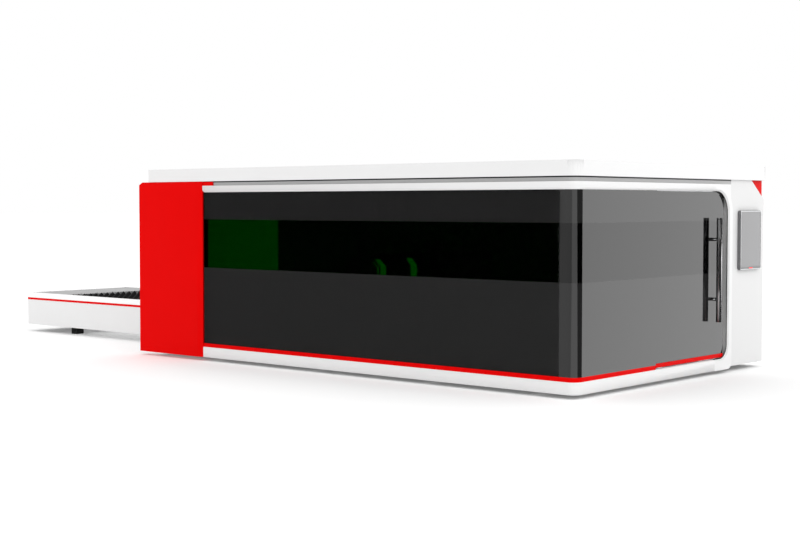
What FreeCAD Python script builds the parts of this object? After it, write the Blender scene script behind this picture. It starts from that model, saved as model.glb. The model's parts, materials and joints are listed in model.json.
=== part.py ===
"""Enclosed flat-bed laser cutting machine with an exchange table, in millimetres.

Places are given by three numbers: reach, the distance back from the operator's
end of the cabinet; depth, the distance in from the glazed long side; and height
above the floor. +X points to the operator's end, +Y away from the glazed side.
"""
import FreeCAD
import Part
import math
import os
from FreeCAD import Vector

# cabinet
CABINET_LENGTH = 5630.0
CABINET_WIDTH = 3460.0
FOOT_GAP = 40.0
SILL_TOP = 149.0
HEADER_BOTTOM = 1789.0
HEADER_TOP = 1858.0
LID_BOTTOM = 1904.0
LID_TOP = 2040.0
CORNER_RADIUS = 100.0
BACK_RADIUS = 60.0
NECK_RECESS = 22.0
WALL_DEPTH = 60.0
SHEET = 4.0
JOINT_GAP = 1.0

# glazing
GLASS_INSET = 8.0
GLASS_THICK = 10.0
STRIP_HEIGHT = 40.0
WINDOW_BOTTOM = 994.0
WINDOW_TOP = 1503.0
LINER_THICK = 20.0
STRIP_THICK = 14.0
FILTER_THICK = 6.0
CORNER_GLASS_START = 180.0
FIXED_PANE_END = 1308.0
RED_PANEL_START = CABINET_LENGTH - 890
RED_PANEL_END = CABINET_LENGTH + 145
RED_PANEL_PROUD = 15.0
RED_PANEL_DEPTH = 80.0
EDGE_BEVEL = 75.0
TOP_BEVEL = 20.0
CORNER_SNIP = 32.0
RED_TAB_LENGTH = 153.0

# operator's end
DOOR_END = 2612.0
DOOR_INSET = 35.0
DOOR_TRAVEL = 1000.0
UPRIGHT_INNER = 2660.0
UPRIGHT_OUTER = 2735.0
UPRIGHT_ARM_START = 2400.0
UPRIGHT_TOP_RADIUS = 280.0
UPRIGHT_FOOT_RADIUS = 70.0
OPENING_TOP_RADIUS = 210.0
OPENING_FOOT_RADIUS = 130.0
HANDLE_DEPTH = 2400.0
HANDLE_BOTTOM = 522.0
HANDLE_TOP = 1530.0
HANDLE_RADIUS = 27.0
HANDLE_STANDOFF = 72.0
HANDLE_POST_HEIGHTS = (742.0, 1322.0)
HANDLE_POST_RADIUS = 16.0
SIDE_PANEL_INSET = NECK_RECESS
SIDE_PANEL_BOTTOM = 58.0
PANEL_FOLD = 60.0
PANEL_ROUND = 45.0
MONITOR_START = 2876.0
MONITOR_END = 3314.0
MONITOR_BOTTOM = 1005.0
MONITOR_TOP = 1600.0
MONITOR_THICK = 35.0
MONITOR_RADIUS = 28.0
PANEL_CUT_START = CABINET_WIDTH - 300
PANEL_CUT_LOW = 1690.0
WEDGE_END = CABINET_WIDTH - 48
WEDGE_THICK = 20.0
UPRIGHT_THICK = 26.0
UPRIGHT_BEVEL = 16.0

# exchange table
TABLE_LENGTH = 3616.0
TABLE_REACH = CABINET_LENGTH + TABLE_LENGTH
TABLE_WIDTH = 1655.0
TABLE_TOP = 507.0
TABLE_BOTTOM = 91.0
SKIRT_THICK = 33.0
LIP_HEIGHT = 60.0
TABLE_STRIP_BOTTOM = 416.0
TABLE_STRIP_HEIGHT = 26.0
COVER_PLATE_END = TABLE_REACH - 746
TABLE_FEET = (CABINET_LENGTH + 620, CABINET_LENGTH + 2720)

# pallets
PALLET_LENGTH = 3050.0
PALLET_REST_REACH = CABINET_LENGTH - 200
PALLET_TRAVEL = 4000.0
UPPER_RAIL_TOP = 345.0
LEVEL_DROP = 190.0
RAIL_LEDGE_WIDTH = 50.0
RAIL_LEDGE_THICK = 15.0
WHEEL_RADIUS = 40.0
WHEEL_WIDTH = 34.0
WHEEL_GAP = 0.3
AXLE_RADIUS = 12.0
RUNNING_CLEARANCE = 0.05
CHAIN_LANE = 25.0
PALLET_FRAME_WIDE = 60.0
PALLET_FRAME_HIGH = 84.0
SLAT_PITCH = 98.0
SLAT_THICK = 3.0
SLAT_RISE = 80.0
SLAT_TOOTH = 45.0
SLAT_TEETH = 16

# bed and motion
BED_START = 700.0
BED_END = CABINET_LENGTH - 430
BED_BOTTOM = 50.0
BED_TOP = 760.0
BED_BEAM_WIDE = 290.0
BED_WALL = 14.0
GANTRY_REACH = 3050.0
GANTRY_BEAM_WIDE = 220.0
GANTRY_BEAM_BOTTOM = 860.0
GANTRY_BEAM_HIGH = 260.0
RAIL_SIZE = 30.0
CARRIAGE_WIDE = 300.0
CARRIAGE_TRAVEL = 720.0
NOZZLE_REST = 590.0
PINION_RADIUS = 31.8
SPINDLE_RADIUS = 12.0
MACHINE_CENTRE = CABINET_WIDTH / 2
TABLE_NEAR = MACHINE_CENTRE - TABLE_WIDTH / 2
TABLE_FAR = MACHINE_CENTRE + TABLE_WIDTH / 2
LANE_NEAR = TABLE_NEAR + SKIRT_THICK
LANE_FAR = TABLE_FAR - SKIRT_THICK

# sliding door and its channels
DOOR_LOW = SILL_TOP + 12
DOOR_HIGH = HEADER_BOTTOM - 6
DOOR_FOOT_RAIL = 38.0
DOOR_HEAD_RAIL = 30.0
DOOR_START = FIXED_PANE_END - 20
DOOR_RAIL_DEPTH = (FIXED_PANE_END - DOOR_TRAVEL - 60, UPRIGHT_INNER - 10)
SHOE_GAP = 0.5
SHOE_THICK = 10.0
SHOE_LENGTH = 80.0
CHANNEL_LIP = 5.0
HANDLE_HOLE_RADIUS = 9.0
HANDLE_BOLT_RADIUS = 8.0
HANDLE_WASHER_RADIUS = 18.0

# control screen
SCREEN_BORDER = 14.0
SCREEN_FOOT = 34.0
SCREEN_RECESS = 3.0

# far wall, service doors and fume outlet
FAR_FACE = CABINET_WIDTH - 12
FAR_THICK = 40.0
LEAF_THICK = 24.0
DOOR_GAP = 4.0
SERVICE_DOORS = {"service_door": (3000.0, 4300.0), "electrical_door": (260.0, 1460.0)}
SERVICE_LOW = 220.0
SERVICE_HIGH = 1780.0
HINGE_RADIUS = 8.0
HINGE_PIN = 4.0
HINGE_LENGTH = 60.0
HINGE_FLAP = 40.0
HINGE_HEIGHTS = (420.0, 1000.0, 1560.0)
HINGE_DEPTH = FAR_FACE + HINGE_RADIUS / 2
SPIGOT_RADIUS = 100.0
SPIGOT_WALL = 3.0
SPIGOT_REACH = CABINET_LENGTH - 730
SPIGOT_HEIGHT = 370.0
INLET_RADIUS = 25.0
INLET_REACH = 1560.0
INLET_HEIGHT = 260.0
DOORWAY_TOP = 700.0
CURTAIN_PITCH = 75.0
LID_RIB_REACHES = (700, 1750, 2800, 3850, 4900)

# feet
FOOT_PAD_RADIUS = 55.0
FOOT_PAD_HIGH = 18.0
FOOT_STUD_RADIUS = 14.0
FOOT_DEPTH = 400.0
FOOT_ARM = 50.0
NEAR_FEET = (480.0, 1700.0, 3200.0, 4650.0)
FAR_FEET = (560.0, 1900.0, 3700.0, 5560.0)
TABLE_FOOT_DEPTH = TABLE_NEAR + 165.5
TABLE_FOOT_SIZE = (100.0, 116.0)

# table start and trim
TABLE_START = CABINET_LENGTH + 2
TRIM_PROUD = 2.0

# bed, trays and duct
BED_NEAR = (LANE_NEAR - BED_BEAM_WIDE, LANE_NEAR)
BED_FAR = (LANE_FAR, LANE_FAR + BED_BEAM_WIDE)
TRAY_FLOOR = UPPER_RAIL_TOP - LEVEL_DROP - RAIL_LEDGE_THICK - 55
TRAY_SPANS = ((990.0, 2200.0), (2200.0, 3400.0), (3400.0, 4600.0))
TRAY_WALL = 3.0
TRAY_HIGH = 40.0
DUCT_DEPTH = (BED_FAR[1], BED_FAR[1] + 180)
DUCT_HEIGHT = (260.0, 480.0)
DUCT_WALL = 2.0
DUCT_START = 1600.0
RACK_LINE_NEAR = BED_NEAR[1] - 90
RACK_LINE_FAR = BED_FAR[0] + 90
RACK_WIDE = 25.0
MESH_GAP = 0.4
X_RAIL_LINES = (sum(BED_NEAR) / 2 - 50, sum(BED_FAR) / 2 + 50)

# gantry, carriage and head
GANTRY = (GANTRY_REACH, GANTRY_REACH + GANTRY_BEAM_WIDE)
BEAM_DEPTH = (BED_NEAR[0] - 20, BED_FAR[1] + 20)
BEAM_TOP = GANTRY_BEAM_BOTTOM + GANTRY_BEAM_HIGH
BEAM_WALL = 10.0
BEARING_TOP = BED_TOP + RAIL_SIZE + 20
RAIL_BLOCK = (110.0, 70.0)
SADDLE_GAP = 0.3
PINION_REACH = GANTRY[1] + 30
PINION_FACE = 26.0
X_MOTOR_SIZE = (52.0, 80.0, 190.0)
Y_RAIL_HEIGHTS = (GANTRY_BEAM_BOTTOM + 50, BEAM_TOP - 50)
CARRIAGE_DEPTH = (MACHINE_CENTRE - CARRIAGE_WIDE / 2, MACHINE_CENTRE + CARRIAGE_WIDE / 2)
CARRIAGE_PLATE = 18.0
PLATE_REACH = GANTRY[0] - RAIL_SIZE - 20
Y_PINION_HEIGHT = BEAM_TOP + RACK_WIDE + PINION_RADIUS + MESH_GAP
HEAD_FACE = PLATE_REACH - CARRIAGE_PLATE
Z_RAIL = 20.0
Z_RAIL_LINES = (MACHINE_CENTRE - 90, MACHINE_CENTRE + 90)
SLIDE_FACE = HEAD_FACE - Z_RAIL - 8
SLIDE_PLATE = 16.0
HEAD_AXIS = SLIDE_FACE - SLIDE_PLATE - 55
HEAD_RADIUS = 45.0
HEAD_TOP = 1150.0
HEAD_CAP = (28.0, 1230.0)
CONE_HIGH = 90.0
NOZZLE_HIGH = 45.0
NOZZLE_RADIUS = (6.0, 20.0)
GAS_HOLE = 1.5

# pallets and their chain drive
PALLET_EDGE = RAIL_LEDGE_WIDTH + CHAIN_LANE
PALLET_DEPTH = (LANE_NEAR + PALLET_EDGE, LANE_FAR - PALLET_EDGE)
AXLE_INSET = 350.0
CHAIN_REACH = (1200.0, TABLE_REACH - 246)
SPROCKET_RADIUS = LEVEL_DROP / 2
SPROCKET_TEETH = 22
CHAIN_HEIGHT = UPPER_RAIL_TOP - LEVEL_DROP / 2 - 15
CHAIN_BAND = 16.0
CHAIN_PLATE = 3.0
CHAIN_GAP = 8.0
SHAFT_RADIUS = 25.0
CHAIN_LINES = (LANE_NEAR + RAIL_LEDGE_WIDTH + 6, LANE_FAR - RAIL_LEDGE_WIDTH - 6 - 14)
BEARING_HALF = 45.0
BEARING_THICK = 30.0
GEARBOX_HALF = 80.0
GEARMOTOR_RADIUS = 62.0

# control bay contents and energy chain
BAY_DEPTH = (FAR_FACE - 568, FAR_FACE - 148)
BAY_FLOOR_THICK = 6.0
RACK_PLATE = (400.0, 1400.0)
RACK_ROWS = (760.0, 1060.0, 1360.0)
RACK_COLUMNS = 6
RACK_UNIT = (120.0, 116.0, 210.0)
SOURCE_REACH = (500.0, 1300.0)
SOURCE_TOP = 640.0
BAY_POSTS = (360.0, 1400.0)
ENERGY_CHAIN_DEPTH = (BED_NEAR[0] - 110, BED_NEAR[0] - 40)
ENERGY_CHAIN_REACH = (1500.0, 3600.0)
ENERGY_CHAIN_BEND = 95.0
ENERGY_CHAIN_BAND = 34.0
ENERGY_CHAIN_MIDDLE = BED_TOP - 100
CHAIN_TRAY_THICK = 4.0

HANDLE_PROUD = HANDLE_STANDOFF + HANDLE_RADIUS - DOOR_INSET
X_ORIGIN = (TABLE_REACH - HANDLE_PROUD) / 2
Y_ORIGIN = (CABINET_WIDTH - RED_PANEL_PROUD) / 2


def at(reach, depth, height):
    """Turn reach, depth and height into a point of the model's frame."""
    return Vector(X_ORIGIN - reach, depth - Y_ORIGIN, height)


def block(reach, depth, height):
    """Box from three (low, high) pairs of reach, depth and height."""
    size = (reach[1] - reach[0], depth[1] - depth[0], height[1] - height[0])
    return Part.makeBox(*size, at(reach[1], depth[0], height[0]))


def rod(radius, start, end):
    """Cylinder between two (reach, depth, height) points."""
    first, last = at(*start), at(*end)
    return Part.makeCylinder(radius, (last - first).Length, first, last - first)


def cross_rod(radius, reach, depths, height):
    """Cylinder across the machine, between two depths."""
    return rod(radius, (reach, depths[0], height), (reach, depths[1], height))


def upright_rod(radius, reach, depth, heights):
    """Cylinder between two heights."""
    return rod(radius, (reach, depth, heights[0]), (reach, depth, heights[1]))


def long_rod(radius, reaches, depth, height):
    """Cylinder along the machine, between two reaches."""
    return rod(radius, (reaches[0], depth, height), (reaches[1], depth, height))


def slab(points, along):
    """Prism of a polygon of (reach, depth, height) points, pushed by a vector."""
    corners = [at(*point) for point in points]
    return Part.Face(Part.makePolygon(corners + corners[:1])).extrude(Vector(*along))


def fuse(shapes):
    """Join touching solids into one piece, with the seams removed."""
    return shapes[0].multiFuse(shapes[1:]).removeSplitter()


def save(node, shapes):
    """Write one node from one solid or a list of separate solids."""
    shape = Part.makeCompound(shapes) if isinstance(shapes, list) else shapes
    shape.exportStep(f"parts/{node}.step")


def rounded(shape, radius, test):
    """Fillet the edges whose centre passes a test."""
    edges = [edge for edge in shape.Edges if test(edge)]
    return shape.makeFillet(radius, edges)


def upright_edges(reach=None, depth=None):
    """Test for vertical edges at one reach or depth."""
    def test(edge):
        box = edge.BoundBox
        tall = box.ZLength > 1 and box.XLength < 0.01 and box.YLength < 0.01
        on_reach = reach is None or abs(box.XMin - at(reach, 0, 0).x) < 0.01
        on_depth = depth is None or abs(box.YMin - at(0, depth, 0).y) < 0.01
        return tall and on_reach and on_depth
    return test


def wrap(profile, reach_start, depth_end):
    """Sweep an (inset, height) outline along the glazed side and round the corner."""
    def face(reach_at, depth_at, along_reach):
        points = []
        for inset, height in profile:
            place = (reach_at, inset, height) if along_reach else (inset, depth_at, height)
            points.append(at(*place))
        return Part.Face(Part.makePolygon(points + points[:1]))
    side = face(reach_start, 0, True).extrude(Vector(reach_start - CORNER_RADIUS, 0, 0))
    centre = at(CORNER_RADIUS, CORNER_RADIUS, 0)
    turn = face(CORNER_RADIUS, 0, True).revolve(centre, Vector(0, 0, 1), 90)
    end = face(0, CORNER_RADIUS, False).extrude(Vector(0, depth_end - CORNER_RADIUS, 0))
    return fuse([side, turn, end])


def flat_profile(inset, thick, low, high):
    """Outline of an upright sheet, as (inset, height) points."""
    return [(inset, low), (inset + thick, low), (inset + thick, high), (inset, high)]


# ---- cabinet ------------------------------------------------------------------

def footprint(inset, low, high):
    """Whole cabinet outline as a solid slab, with its rounded corners."""
    shape = block((inset, CABINET_LENGTH - inset), (inset, CABINET_WIDTH - inset), (low, high))
    shape = rounded(shape, CORNER_RADIUS - inset, upright_edges(inset, inset))
    return rounded(shape, BACK_RADIUS - inset, upright_edges(inset, CABINET_WIDTH - inset))


def sill():
    """Bottom band under the glazing, with a small rolled lower edge."""
    profile = [(6, FOOT_GAP), (WALL_DEPTH, FOOT_GAP), (WALL_DEPTH, SILL_TOP),
               (GLASS_INSET, SILL_TOP), (0, SILL_TOP - GLASS_INSET), (0, FOOT_GAP + 6)]
    return wrap(profile, RED_PANEL_START, UPRIGHT_ARM_START)


def header():
    """Top band over the glazing, its lower edge bevelled in to the glass."""
    bevel = 20.0
    profile = [(GLASS_INSET, HEADER_BOTTOM), (WALL_DEPTH, HEADER_BOTTOM),
               (WALL_DEPTH, HEADER_TOP), (0, HEADER_TOP), (0, HEADER_BOTTOM + bevel)]
    band = wrap(profile, RED_PANEL_START, UPRIGHT_ARM_START)
    return band.cut(rounded_end(RED_PANEL_START, HEADER_BOTTOM, 34.0))


def rounded_end(reach, height, radius):
    """Waste that rounds the lower corner of a band's far end."""
    square = block((reach - radius, reach + 1), (-1, WALL_DEPTH + 1), (height - 1, height + radius))
    return square.cut(cross_rod(radius, reach - radius, (-2, WALL_DEPTH + 2), height + radius))


def base_ring():
    """Floor frame of the cabinet along its hidden sides, low under the pallet doorway."""
    start = SIDE_PANEL_INSET + PANEL_FOLD
    far = block((start, CABINET_LENGTH), (FAR_FACE - FAR_THICK, FAR_FACE), (FOOT_GAP, SILL_TOP))
    left = block((CABINET_LENGTH - WALL_DEPTH, CABINET_LENGTH),
                 (RED_PANEL_DEPTH, FAR_FACE - FAR_THICK), (FOOT_GAP, FOOT_GAP + 50))
    near = block((RED_PANEL_START, CABINET_LENGTH),
                 (RED_PANEL_DEPTH, RED_PANEL_DEPTH + WALL_DEPTH), (FOOT_GAP, FOOT_GAP + 50))
    return fuse([far, left, near])


def foot_arms():
    """Arms from the sill in to the near row of feet."""
    return [block((reach - FOOT_ARM / 2, reach + FOOT_ARM / 2), (WALL_DEPTH, FOOT_DEPTH + FOOT_ARM / 2),
                  (FOOT_GAP, FOOT_GAP + FOOT_ARM)) for reach in NEAR_FEET]


def end_upright():
    """White upright at the operator's end, with an arm to the header and to the sill."""
    def loop(depth_end, low, high, low_radius, high_radius):
        shape = block((0, UPRIGHT_THICK), (UPRIGHT_ARM_START, depth_end), (low, high))
        back = at(0, depth_end, 0).y

        def edge_at(height):
            boxes = [(edge, edge.BoundBox) for edge in shape.Edges]
            level = [(edge, box) for edge, box in boxes
                     if abs(box.ZMin - height) < 0.01 and box.ZLength < 0.01]
            return [edge for edge, box in level if abs(box.YMin - back) < 0.01 and box.YLength < 0.01]
        shape = shape.makeFillet(high_radius, edge_at(high))
        return shape.makeFillet(low_radius, edge_at(low))
    outer = loop(UPRIGHT_OUTER, FOOT_GAP, HEADER_TOP, UPRIGHT_FOOT_RADIUS, UPRIGHT_TOP_RADIUS)
    inner = loop(UPRIGHT_INNER, SILL_TOP, HEADER_BOTTOM, OPENING_FOOT_RADIUS, OPENING_TOP_RADIUS)
    frame = outer.cut(inner)
    corner = at(0, UPRIGHT_INNER, 0)

    def inside(edge):
        box = edge.BoundBox
        on_face = abs(box.XMin - corner.x) < 0.01 and box.XLength < 0.01
        within = box.ZMin > SILL_TOP - 1 and box.ZMax < HEADER_BOTTOM + 1 and box.YMax < corner.y + 1
        return on_face and within and edge.Length > 40
    return frame.makeChamfer(UPRIGHT_BEVEL, [edge for edge in frame.Edges if inside(edge)])


def neck():
    """Shadow band between the header and the lid, set back all round."""
    low, high = HEADER_TOP, LID_BOTTOM
    outer = footprint(NECK_RECESS, low, high)
    inner = block((WALL_DEPTH, CABINET_LENGTH - WALL_DEPTH), (WALL_DEPTH, CABINET_WIDTH - WALL_DEPTH),
                  (low, high))
    panel = block((RED_PANEL_START - JOINT_GAP, CABINET_LENGTH), (0, RED_PANEL_DEPTH + JOINT_GAP),
                  (low, high))
    cover = block((0, SIDE_PANEL_INSET + PANEL_FOLD), (UPRIGHT_OUTER, CABINET_WIDTH), (low, high))
    return outer.cut(inner).cut(panel).cut(cover)


def lid():
    """Roof cover folded from sheet, open underneath."""
    outer = footprint(0, LID_BOTTOM, LID_TOP)
    hollow = footprint(SHEET, LID_BOTTOM, LID_TOP - SHEET)
    return outer.cut(hollow)


def lid_ribs():
    """Cross channels that stiffen the roof and rest on the neck."""
    ribs = []
    for reach in LID_RIB_REACHES:
        ribs.append(block((reach, reach + 60), (30, CABINET_WIDTH - 30), (LID_BOTTOM, LID_TOP - SHEET)))
    return ribs


def red_panel():
    """Red corner housing, a folded tray open at its back, with bevelled edges."""
    top = LID_BOTTOM - JOINT_GAP
    outer = red_panel_block(0, top)
    hollow = red_panel_block(SHEET, top)
    return outer.cut(hollow)


def red_panel_block(inset, top):
    """Outer or inner form of the corner housing."""
    face = -RED_PANEL_PROUD + inset
    start, end = RED_PANEL_START + inset, RED_PANEL_END - inset
    back = RED_PANEL_DEPTH + inset
    outline = [(start, back), (start, inset), (start + EDGE_BEVEL, face), (end, face), (end, back)]
    low, high = FOOT_GAP + inset, top - inset
    shape = slab([(reach, depth, low) for reach, depth in outline], (0, 0, high - low))
    bevel = slab([(start - 1, face - 1, high + 1), (start - 1, face + TOP_BEVEL, high + 1),
                  (start - 1, face - 1, high - TOP_BEVEL * 1.4)], (start - end - 2, 0, 0))
    corner = slab([(end, face - 1, high), (end - CORNER_SNIP, face - 1, high),
                   (end, face - 1, high - CORNER_SNIP)], (0, back - face + 2, 0))
    return shape.cut(bevel).cut(corner)


def red_tab():
    """Short red return of the corner housing at the neck."""
    return block((RED_PANEL_START - RED_TAB_LENGTH, RED_PANEL_START - 2 * JOINT_GAP), (8, NECK_RECESS),
                 (HEADER_TOP, LID_BOTTOM - 4))


def side_glass():
    """Long flat pane of the glazed side."""
    low = SILL_TOP + STRIP_HEIGHT
    return block((CORNER_GLASS_START + 2, RED_PANEL_START), (GLASS_INSET, GLASS_INSET + GLASS_THICK),
                 (low, HEADER_BOTTOM))


def corner_glass():
    """Bent pane that turns the corner and runs to the sliding door."""
    low = SILL_TOP + STRIP_HEIGHT
    profile = flat_profile(GLASS_INSET, GLASS_THICK, low, HEADER_BOTTOM)
    return wrap(profile, CORNER_GLASS_START, FIXED_PANE_END)


def side_strip():
    """Red trim strip at the foot of the glazing."""
    profile = flat_profile(GLASS_INSET, STRIP_THICK, SILL_TOP, SILL_TOP + STRIP_HEIGHT)
    return wrap(profile, RED_PANEL_START, FIXED_PANE_END)


def liner(low, high):
    """Dark inner panel behind the glass, above or below the window."""
    face = GLASS_INSET + GLASS_THICK
    start = CORNER_GLASS_START + 2
    return block((start, RED_PANEL_START), (face, face + LINER_THICK), (low, high))


def laser_window():
    """Green filter pane behind the clear band of the side glass."""
    face = GLASS_INSET + GLASS_THICK
    return block((CORNER_GLASS_START + 2, RED_PANEL_START), (face, face + FILTER_THICK),
                 (WINDOW_BOTTOM, WINDOW_TOP))


def panel_cut(reach):
    """Waste above the sloping cut in the control bay cover's top corner."""
    high = LID_BOTTOM + 1
    edge = CABINET_WIDTH + 1
    corners = [(reach, PANEL_CUT_START, high), (reach, edge, high), (reach, edge, PANEL_CUT_LOW)]
    return slab(corners, (-PANEL_FOLD - 2, 0, 0))


def side_panel():
    """Folded white cover of the control bay, its far edge rounded and its top corner cut."""
    face = SIDE_PANEL_INSET
    low, high = SIDE_PANEL_BOTTOM, LID_BOTTOM
    edge = CABINET_WIDTH - 2
    shape = block((face, face + PANEL_FOLD), (UPRIGHT_OUTER, edge), (low, high))
    shape = rounded(shape, PANEL_ROUND, upright_edges(face, edge))
    hollow = block((face + SHEET, face + PANEL_FOLD + 1), (UPRIGHT_OUTER + SHEET, edge - PANEL_ROUND),
                   (low + SHEET, high - SHEET))
    return shape.cut(hollow).cut(panel_cut(face - 1))


def corner_wedge():
    """Red triangle that closes the cut corner of the control bay cover."""
    reach = SIDE_PANEL_INSET + 14
    bay = block((reach, reach + WEDGE_THICK), (UPRIGHT_OUTER, WEDGE_END), (0, LID_BOTTOM))
    return panel_cut(reach).common(bay)


def bay_post():
    """Post between the sliding door's pocket and the control bay."""
    depths = (UPRIGHT_OUTER - 60, UPRIGHT_OUTER - 4)
    return block((UPRIGHT_THICK, WALL_DEPTH + 30), depths, (SILL_TOP, HEADER_TOP))


# ---- sliding door ---------------------------------------------------------------

def door_glass():
    """Sliding pane behind the plane of the fixed glass."""
    heights = (DOOR_LOW + DOOR_FOOT_RAIL, DOOR_HIGH - DOOR_HEAD_RAIL)
    shape = block((DOOR_INSET, DOOR_INSET + GLASS_THICK), (DOOR_START, DOOR_END), heights)
    for height in HANDLE_POST_HEIGHTS:
        reaches = (DOOR_INSET - 5, DOOR_INSET + 40)
        shape = shape.cut(long_rod(HANDLE_HOLE_RADIUS, reaches, HANDLE_DEPTH, height))
    return shape


def door_rails():
    """Top and bottom edge profiles that hold the pane."""
    reaches = (DOOR_INSET - 6, DOOR_INSET + GLASS_THICK + 6)
    low = block(reaches, (DOOR_START, DOOR_END), (DOOR_LOW, DOOR_LOW + DOOR_FOOT_RAIL))
    high = block(reaches, (DOOR_START, DOOR_END), (DOOR_HIGH - DOOR_HEAD_RAIL, DOOR_HIGH))
    return [low, high]


def door_shoes():
    """Glide blocks under and over the door, in the channels."""
    shoes = []
    for depth in (DOOR_START + 100, DOOR_END - 220):
        for heights in ((SILL_TOP + SHOE_GAP, DOOR_LOW), (DOOR_HIGH, HEADER_BOTTOM - SHOE_GAP)):
            shoes.append(block((DOOR_INSET, DOOR_INSET + SHOE_THICK), (depth, depth + SHOE_LENGTH), heights))
    return shoes


def door_channels():
    """Guide channels for the shoes, fixed to the sill and the header."""
    channels = []
    for heights in ((SILL_TOP, SILL_TOP + CHANNEL_LIP), (HEADER_BOTTOM - CHANNEL_LIP, HEADER_BOTTOM)):
        near = block((DOOR_INSET - 8, DOOR_INSET - SHOE_GAP), DOOR_RAIL_DEPTH, heights)
        inner = DOOR_INSET + SHOE_THICK
        far = block((inner + SHOE_GAP, inner + 8), DOOR_RAIL_DEPTH, heights)
        channels += [near, far]
    return channels


def handle_bar():
    """Polished pull tube."""
    return upright_rod(HANDLE_RADIUS, DOOR_INSET - HANDLE_STANDOFF, HANDLE_DEPTH, (HANDLE_BOTTOM, HANDLE_TOP))


def handle_posts():
    """Two standoffs from the pane to the pull tube, with a washer and bolt inside."""
    posts = []
    tube = DOOR_INSET - HANDLE_STANDOFF
    inside = DOOR_INSET + GLASS_THICK
    for height in HANDLE_POST_HEIGHTS:
        post = long_rod(HANDLE_POST_RADIUS, (tube, DOOR_INSET), HANDLE_DEPTH, height).cut(handle_bar())
        bolt = long_rod(HANDLE_BOLT_RADIUS, (DOOR_INSET, inside), HANDLE_DEPTH, height)
        washer = long_rod(HANDLE_WASHER_RADIUS, (inside, inside + 4), HANDLE_DEPTH, height)
        posts.append(fuse([post, bolt, washer]))
    return posts


# ---- control screen ---------------------------------------------------------------

def monitor_shell():
    """Upright touch-screen housing on the control bay cover."""
    face = SIDE_PANEL_INSET - MONITOR_THICK
    shape = block((face, SIDE_PANEL_INSET), (MONITOR_START, MONITOR_END), (MONITOR_BOTTOM, MONITOR_TOP))
    shape = rounded(shape, MONITOR_RADIUS, lambda edge: edge.BoundBox.XLength > 1)
    return shape.cut(screen((face - 1, face + SCREEN_RECESS)))


def monitor_glass():
    """Screen pane seated in the housing."""
    face = SIDE_PANEL_INSET - MONITOR_THICK
    return screen((face, face + SCREEN_RECESS))


def screen(reaches):
    """Block over the visible field of the screen."""
    return block(reaches, (MONITOR_START + SCREEN_BORDER, MONITOR_END - SCREEN_BORDER),
                 (MONITOR_BOTTOM + SCREEN_FOOT, MONITOR_TOP - SCREEN_BORDER))


# ---- far side and left end ----------------------------------------------------------

def far_wall():
    """Sheet-clad wall away from the glazed side, with two service openings."""
    start = SIDE_PANEL_INSET + PANEL_FOLD
    wall = block((start, CABINET_LENGTH), (FAR_FACE - FAR_THICK, FAR_FACE), (SILL_TOP, HEADER_TOP))
    through = (FAR_FACE - FAR_THICK - 1, FAR_FACE + 1)
    for low, high in SERVICE_DOORS.values():
        wall = wall.cut(block((low, high), through, (SERVICE_LOW, SERVICE_HIGH)))
        for height in HINGE_HEIGHTS:
            wall = wall.cut(hinge_rod(HINGE_RADIUS + 0.5, high, height, HINGE_LENGTH + 2))
    inlet = cross_rod(INLET_RADIUS, INLET_REACH, through, INLET_HEIGHT)
    return wall.cut(rod(SPIGOT_RADIUS, *spigot_line(2))).cut(inlet)


def hinge_rod(radius, reach, height, length):
    """Cylinder on a hinge's axis, centred on one height."""
    return upright_rod(radius, reach, HINGE_DEPTH, (height - length / 2, height + length / 2))


def spigot_line(extra):
    """Axis of the fume outlet, from the duct to the outer face of the far wall."""
    start, end = DUCT_DEPTH[1] - extra, FAR_FACE + extra
    return (SPIGOT_REACH, start, SPIGOT_HEIGHT), (SPIGOT_REACH, end, SPIGOT_HEIGHT)


def service_door(low, high):
    """Hinged leaf with three hinge barrels on its left edge."""
    leaf = block((low + DOOR_GAP, high - DOOR_GAP), (FAR_FACE - LEAF_THICK, FAR_FACE),
                 (SERVICE_LOW + DOOR_GAP, SERVICE_HIGH - DOOR_GAP))
    for height in HINGE_HEIGHTS:
        leaf = leaf.cut(hinge_rod(HINGE_RADIUS + 2, high, height, 2 * HINGE_LENGTH))
        barrel = hinge_rod(HINGE_RADIUS, high, height, HINGE_LENGTH / 2)
        heights = (height - HINGE_LENGTH / 4, height + HINGE_LENGTH / 4)
        flap = block((high - HINGE_FLAP, high), (FAR_FACE + 1, FAR_FACE + 4), heights)
        pad = block((high - HINGE_FLAP, high - 14), (FAR_FACE - 1, FAR_FACE + 4), heights)
        bore = hinge_rod(HINGE_PIN + RUNNING_CLEARANCE, high, height, 2 * HINGE_LENGTH)
        leaf = fuse([leaf, barrel, flap, pad]).cut(bore)
    return leaf


def service_hinges():
    """Fixed halves of the hinges: a pin between two barrels, on a plate on the wall."""
    halves = []
    for high in (pair[1] for pair in SERVICE_DOORS.values()):
        for height in HINGE_HEIGHTS:
            pieces = [hinge_rod(HINGE_PIN, high, height, HINGE_LENGTH)]
            for side in (-1, 1):
                inner = height + side * (HINGE_LENGTH / 4 + 0.3)
                outer = height + side * HINGE_LENGTH / 2
                ends = sorted((inner, outer))
                pieces.append(upright_rod(HINGE_RADIUS, high, HINGE_DEPTH, ends))
                pieces.append(block((high + 1, high + HINGE_FLAP), (FAR_FACE, FAR_FACE + 3), ends))
            behind = block((high - 20, high + 20), (FAR_FACE - 20, FAR_FACE), (0, HEADER_TOP))
            halves.append(fuse(pieces).cut(behind))
    return halves


def door_latch(low):
    """Flush latch plate near a service door's free edge."""
    return block((low + 40, low + 75), (FAR_FACE, FAR_FACE + 6), (960, 1090))


def outlet_collar():
    """Round fume outlet that a suction hose clamps inside."""
    outer = rod(SPIGOT_RADIUS, *spigot_line(0))
    return outer.cut(rod(SPIGOT_RADIUS - SPIGOT_WALL, *spigot_line(5)))


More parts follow.
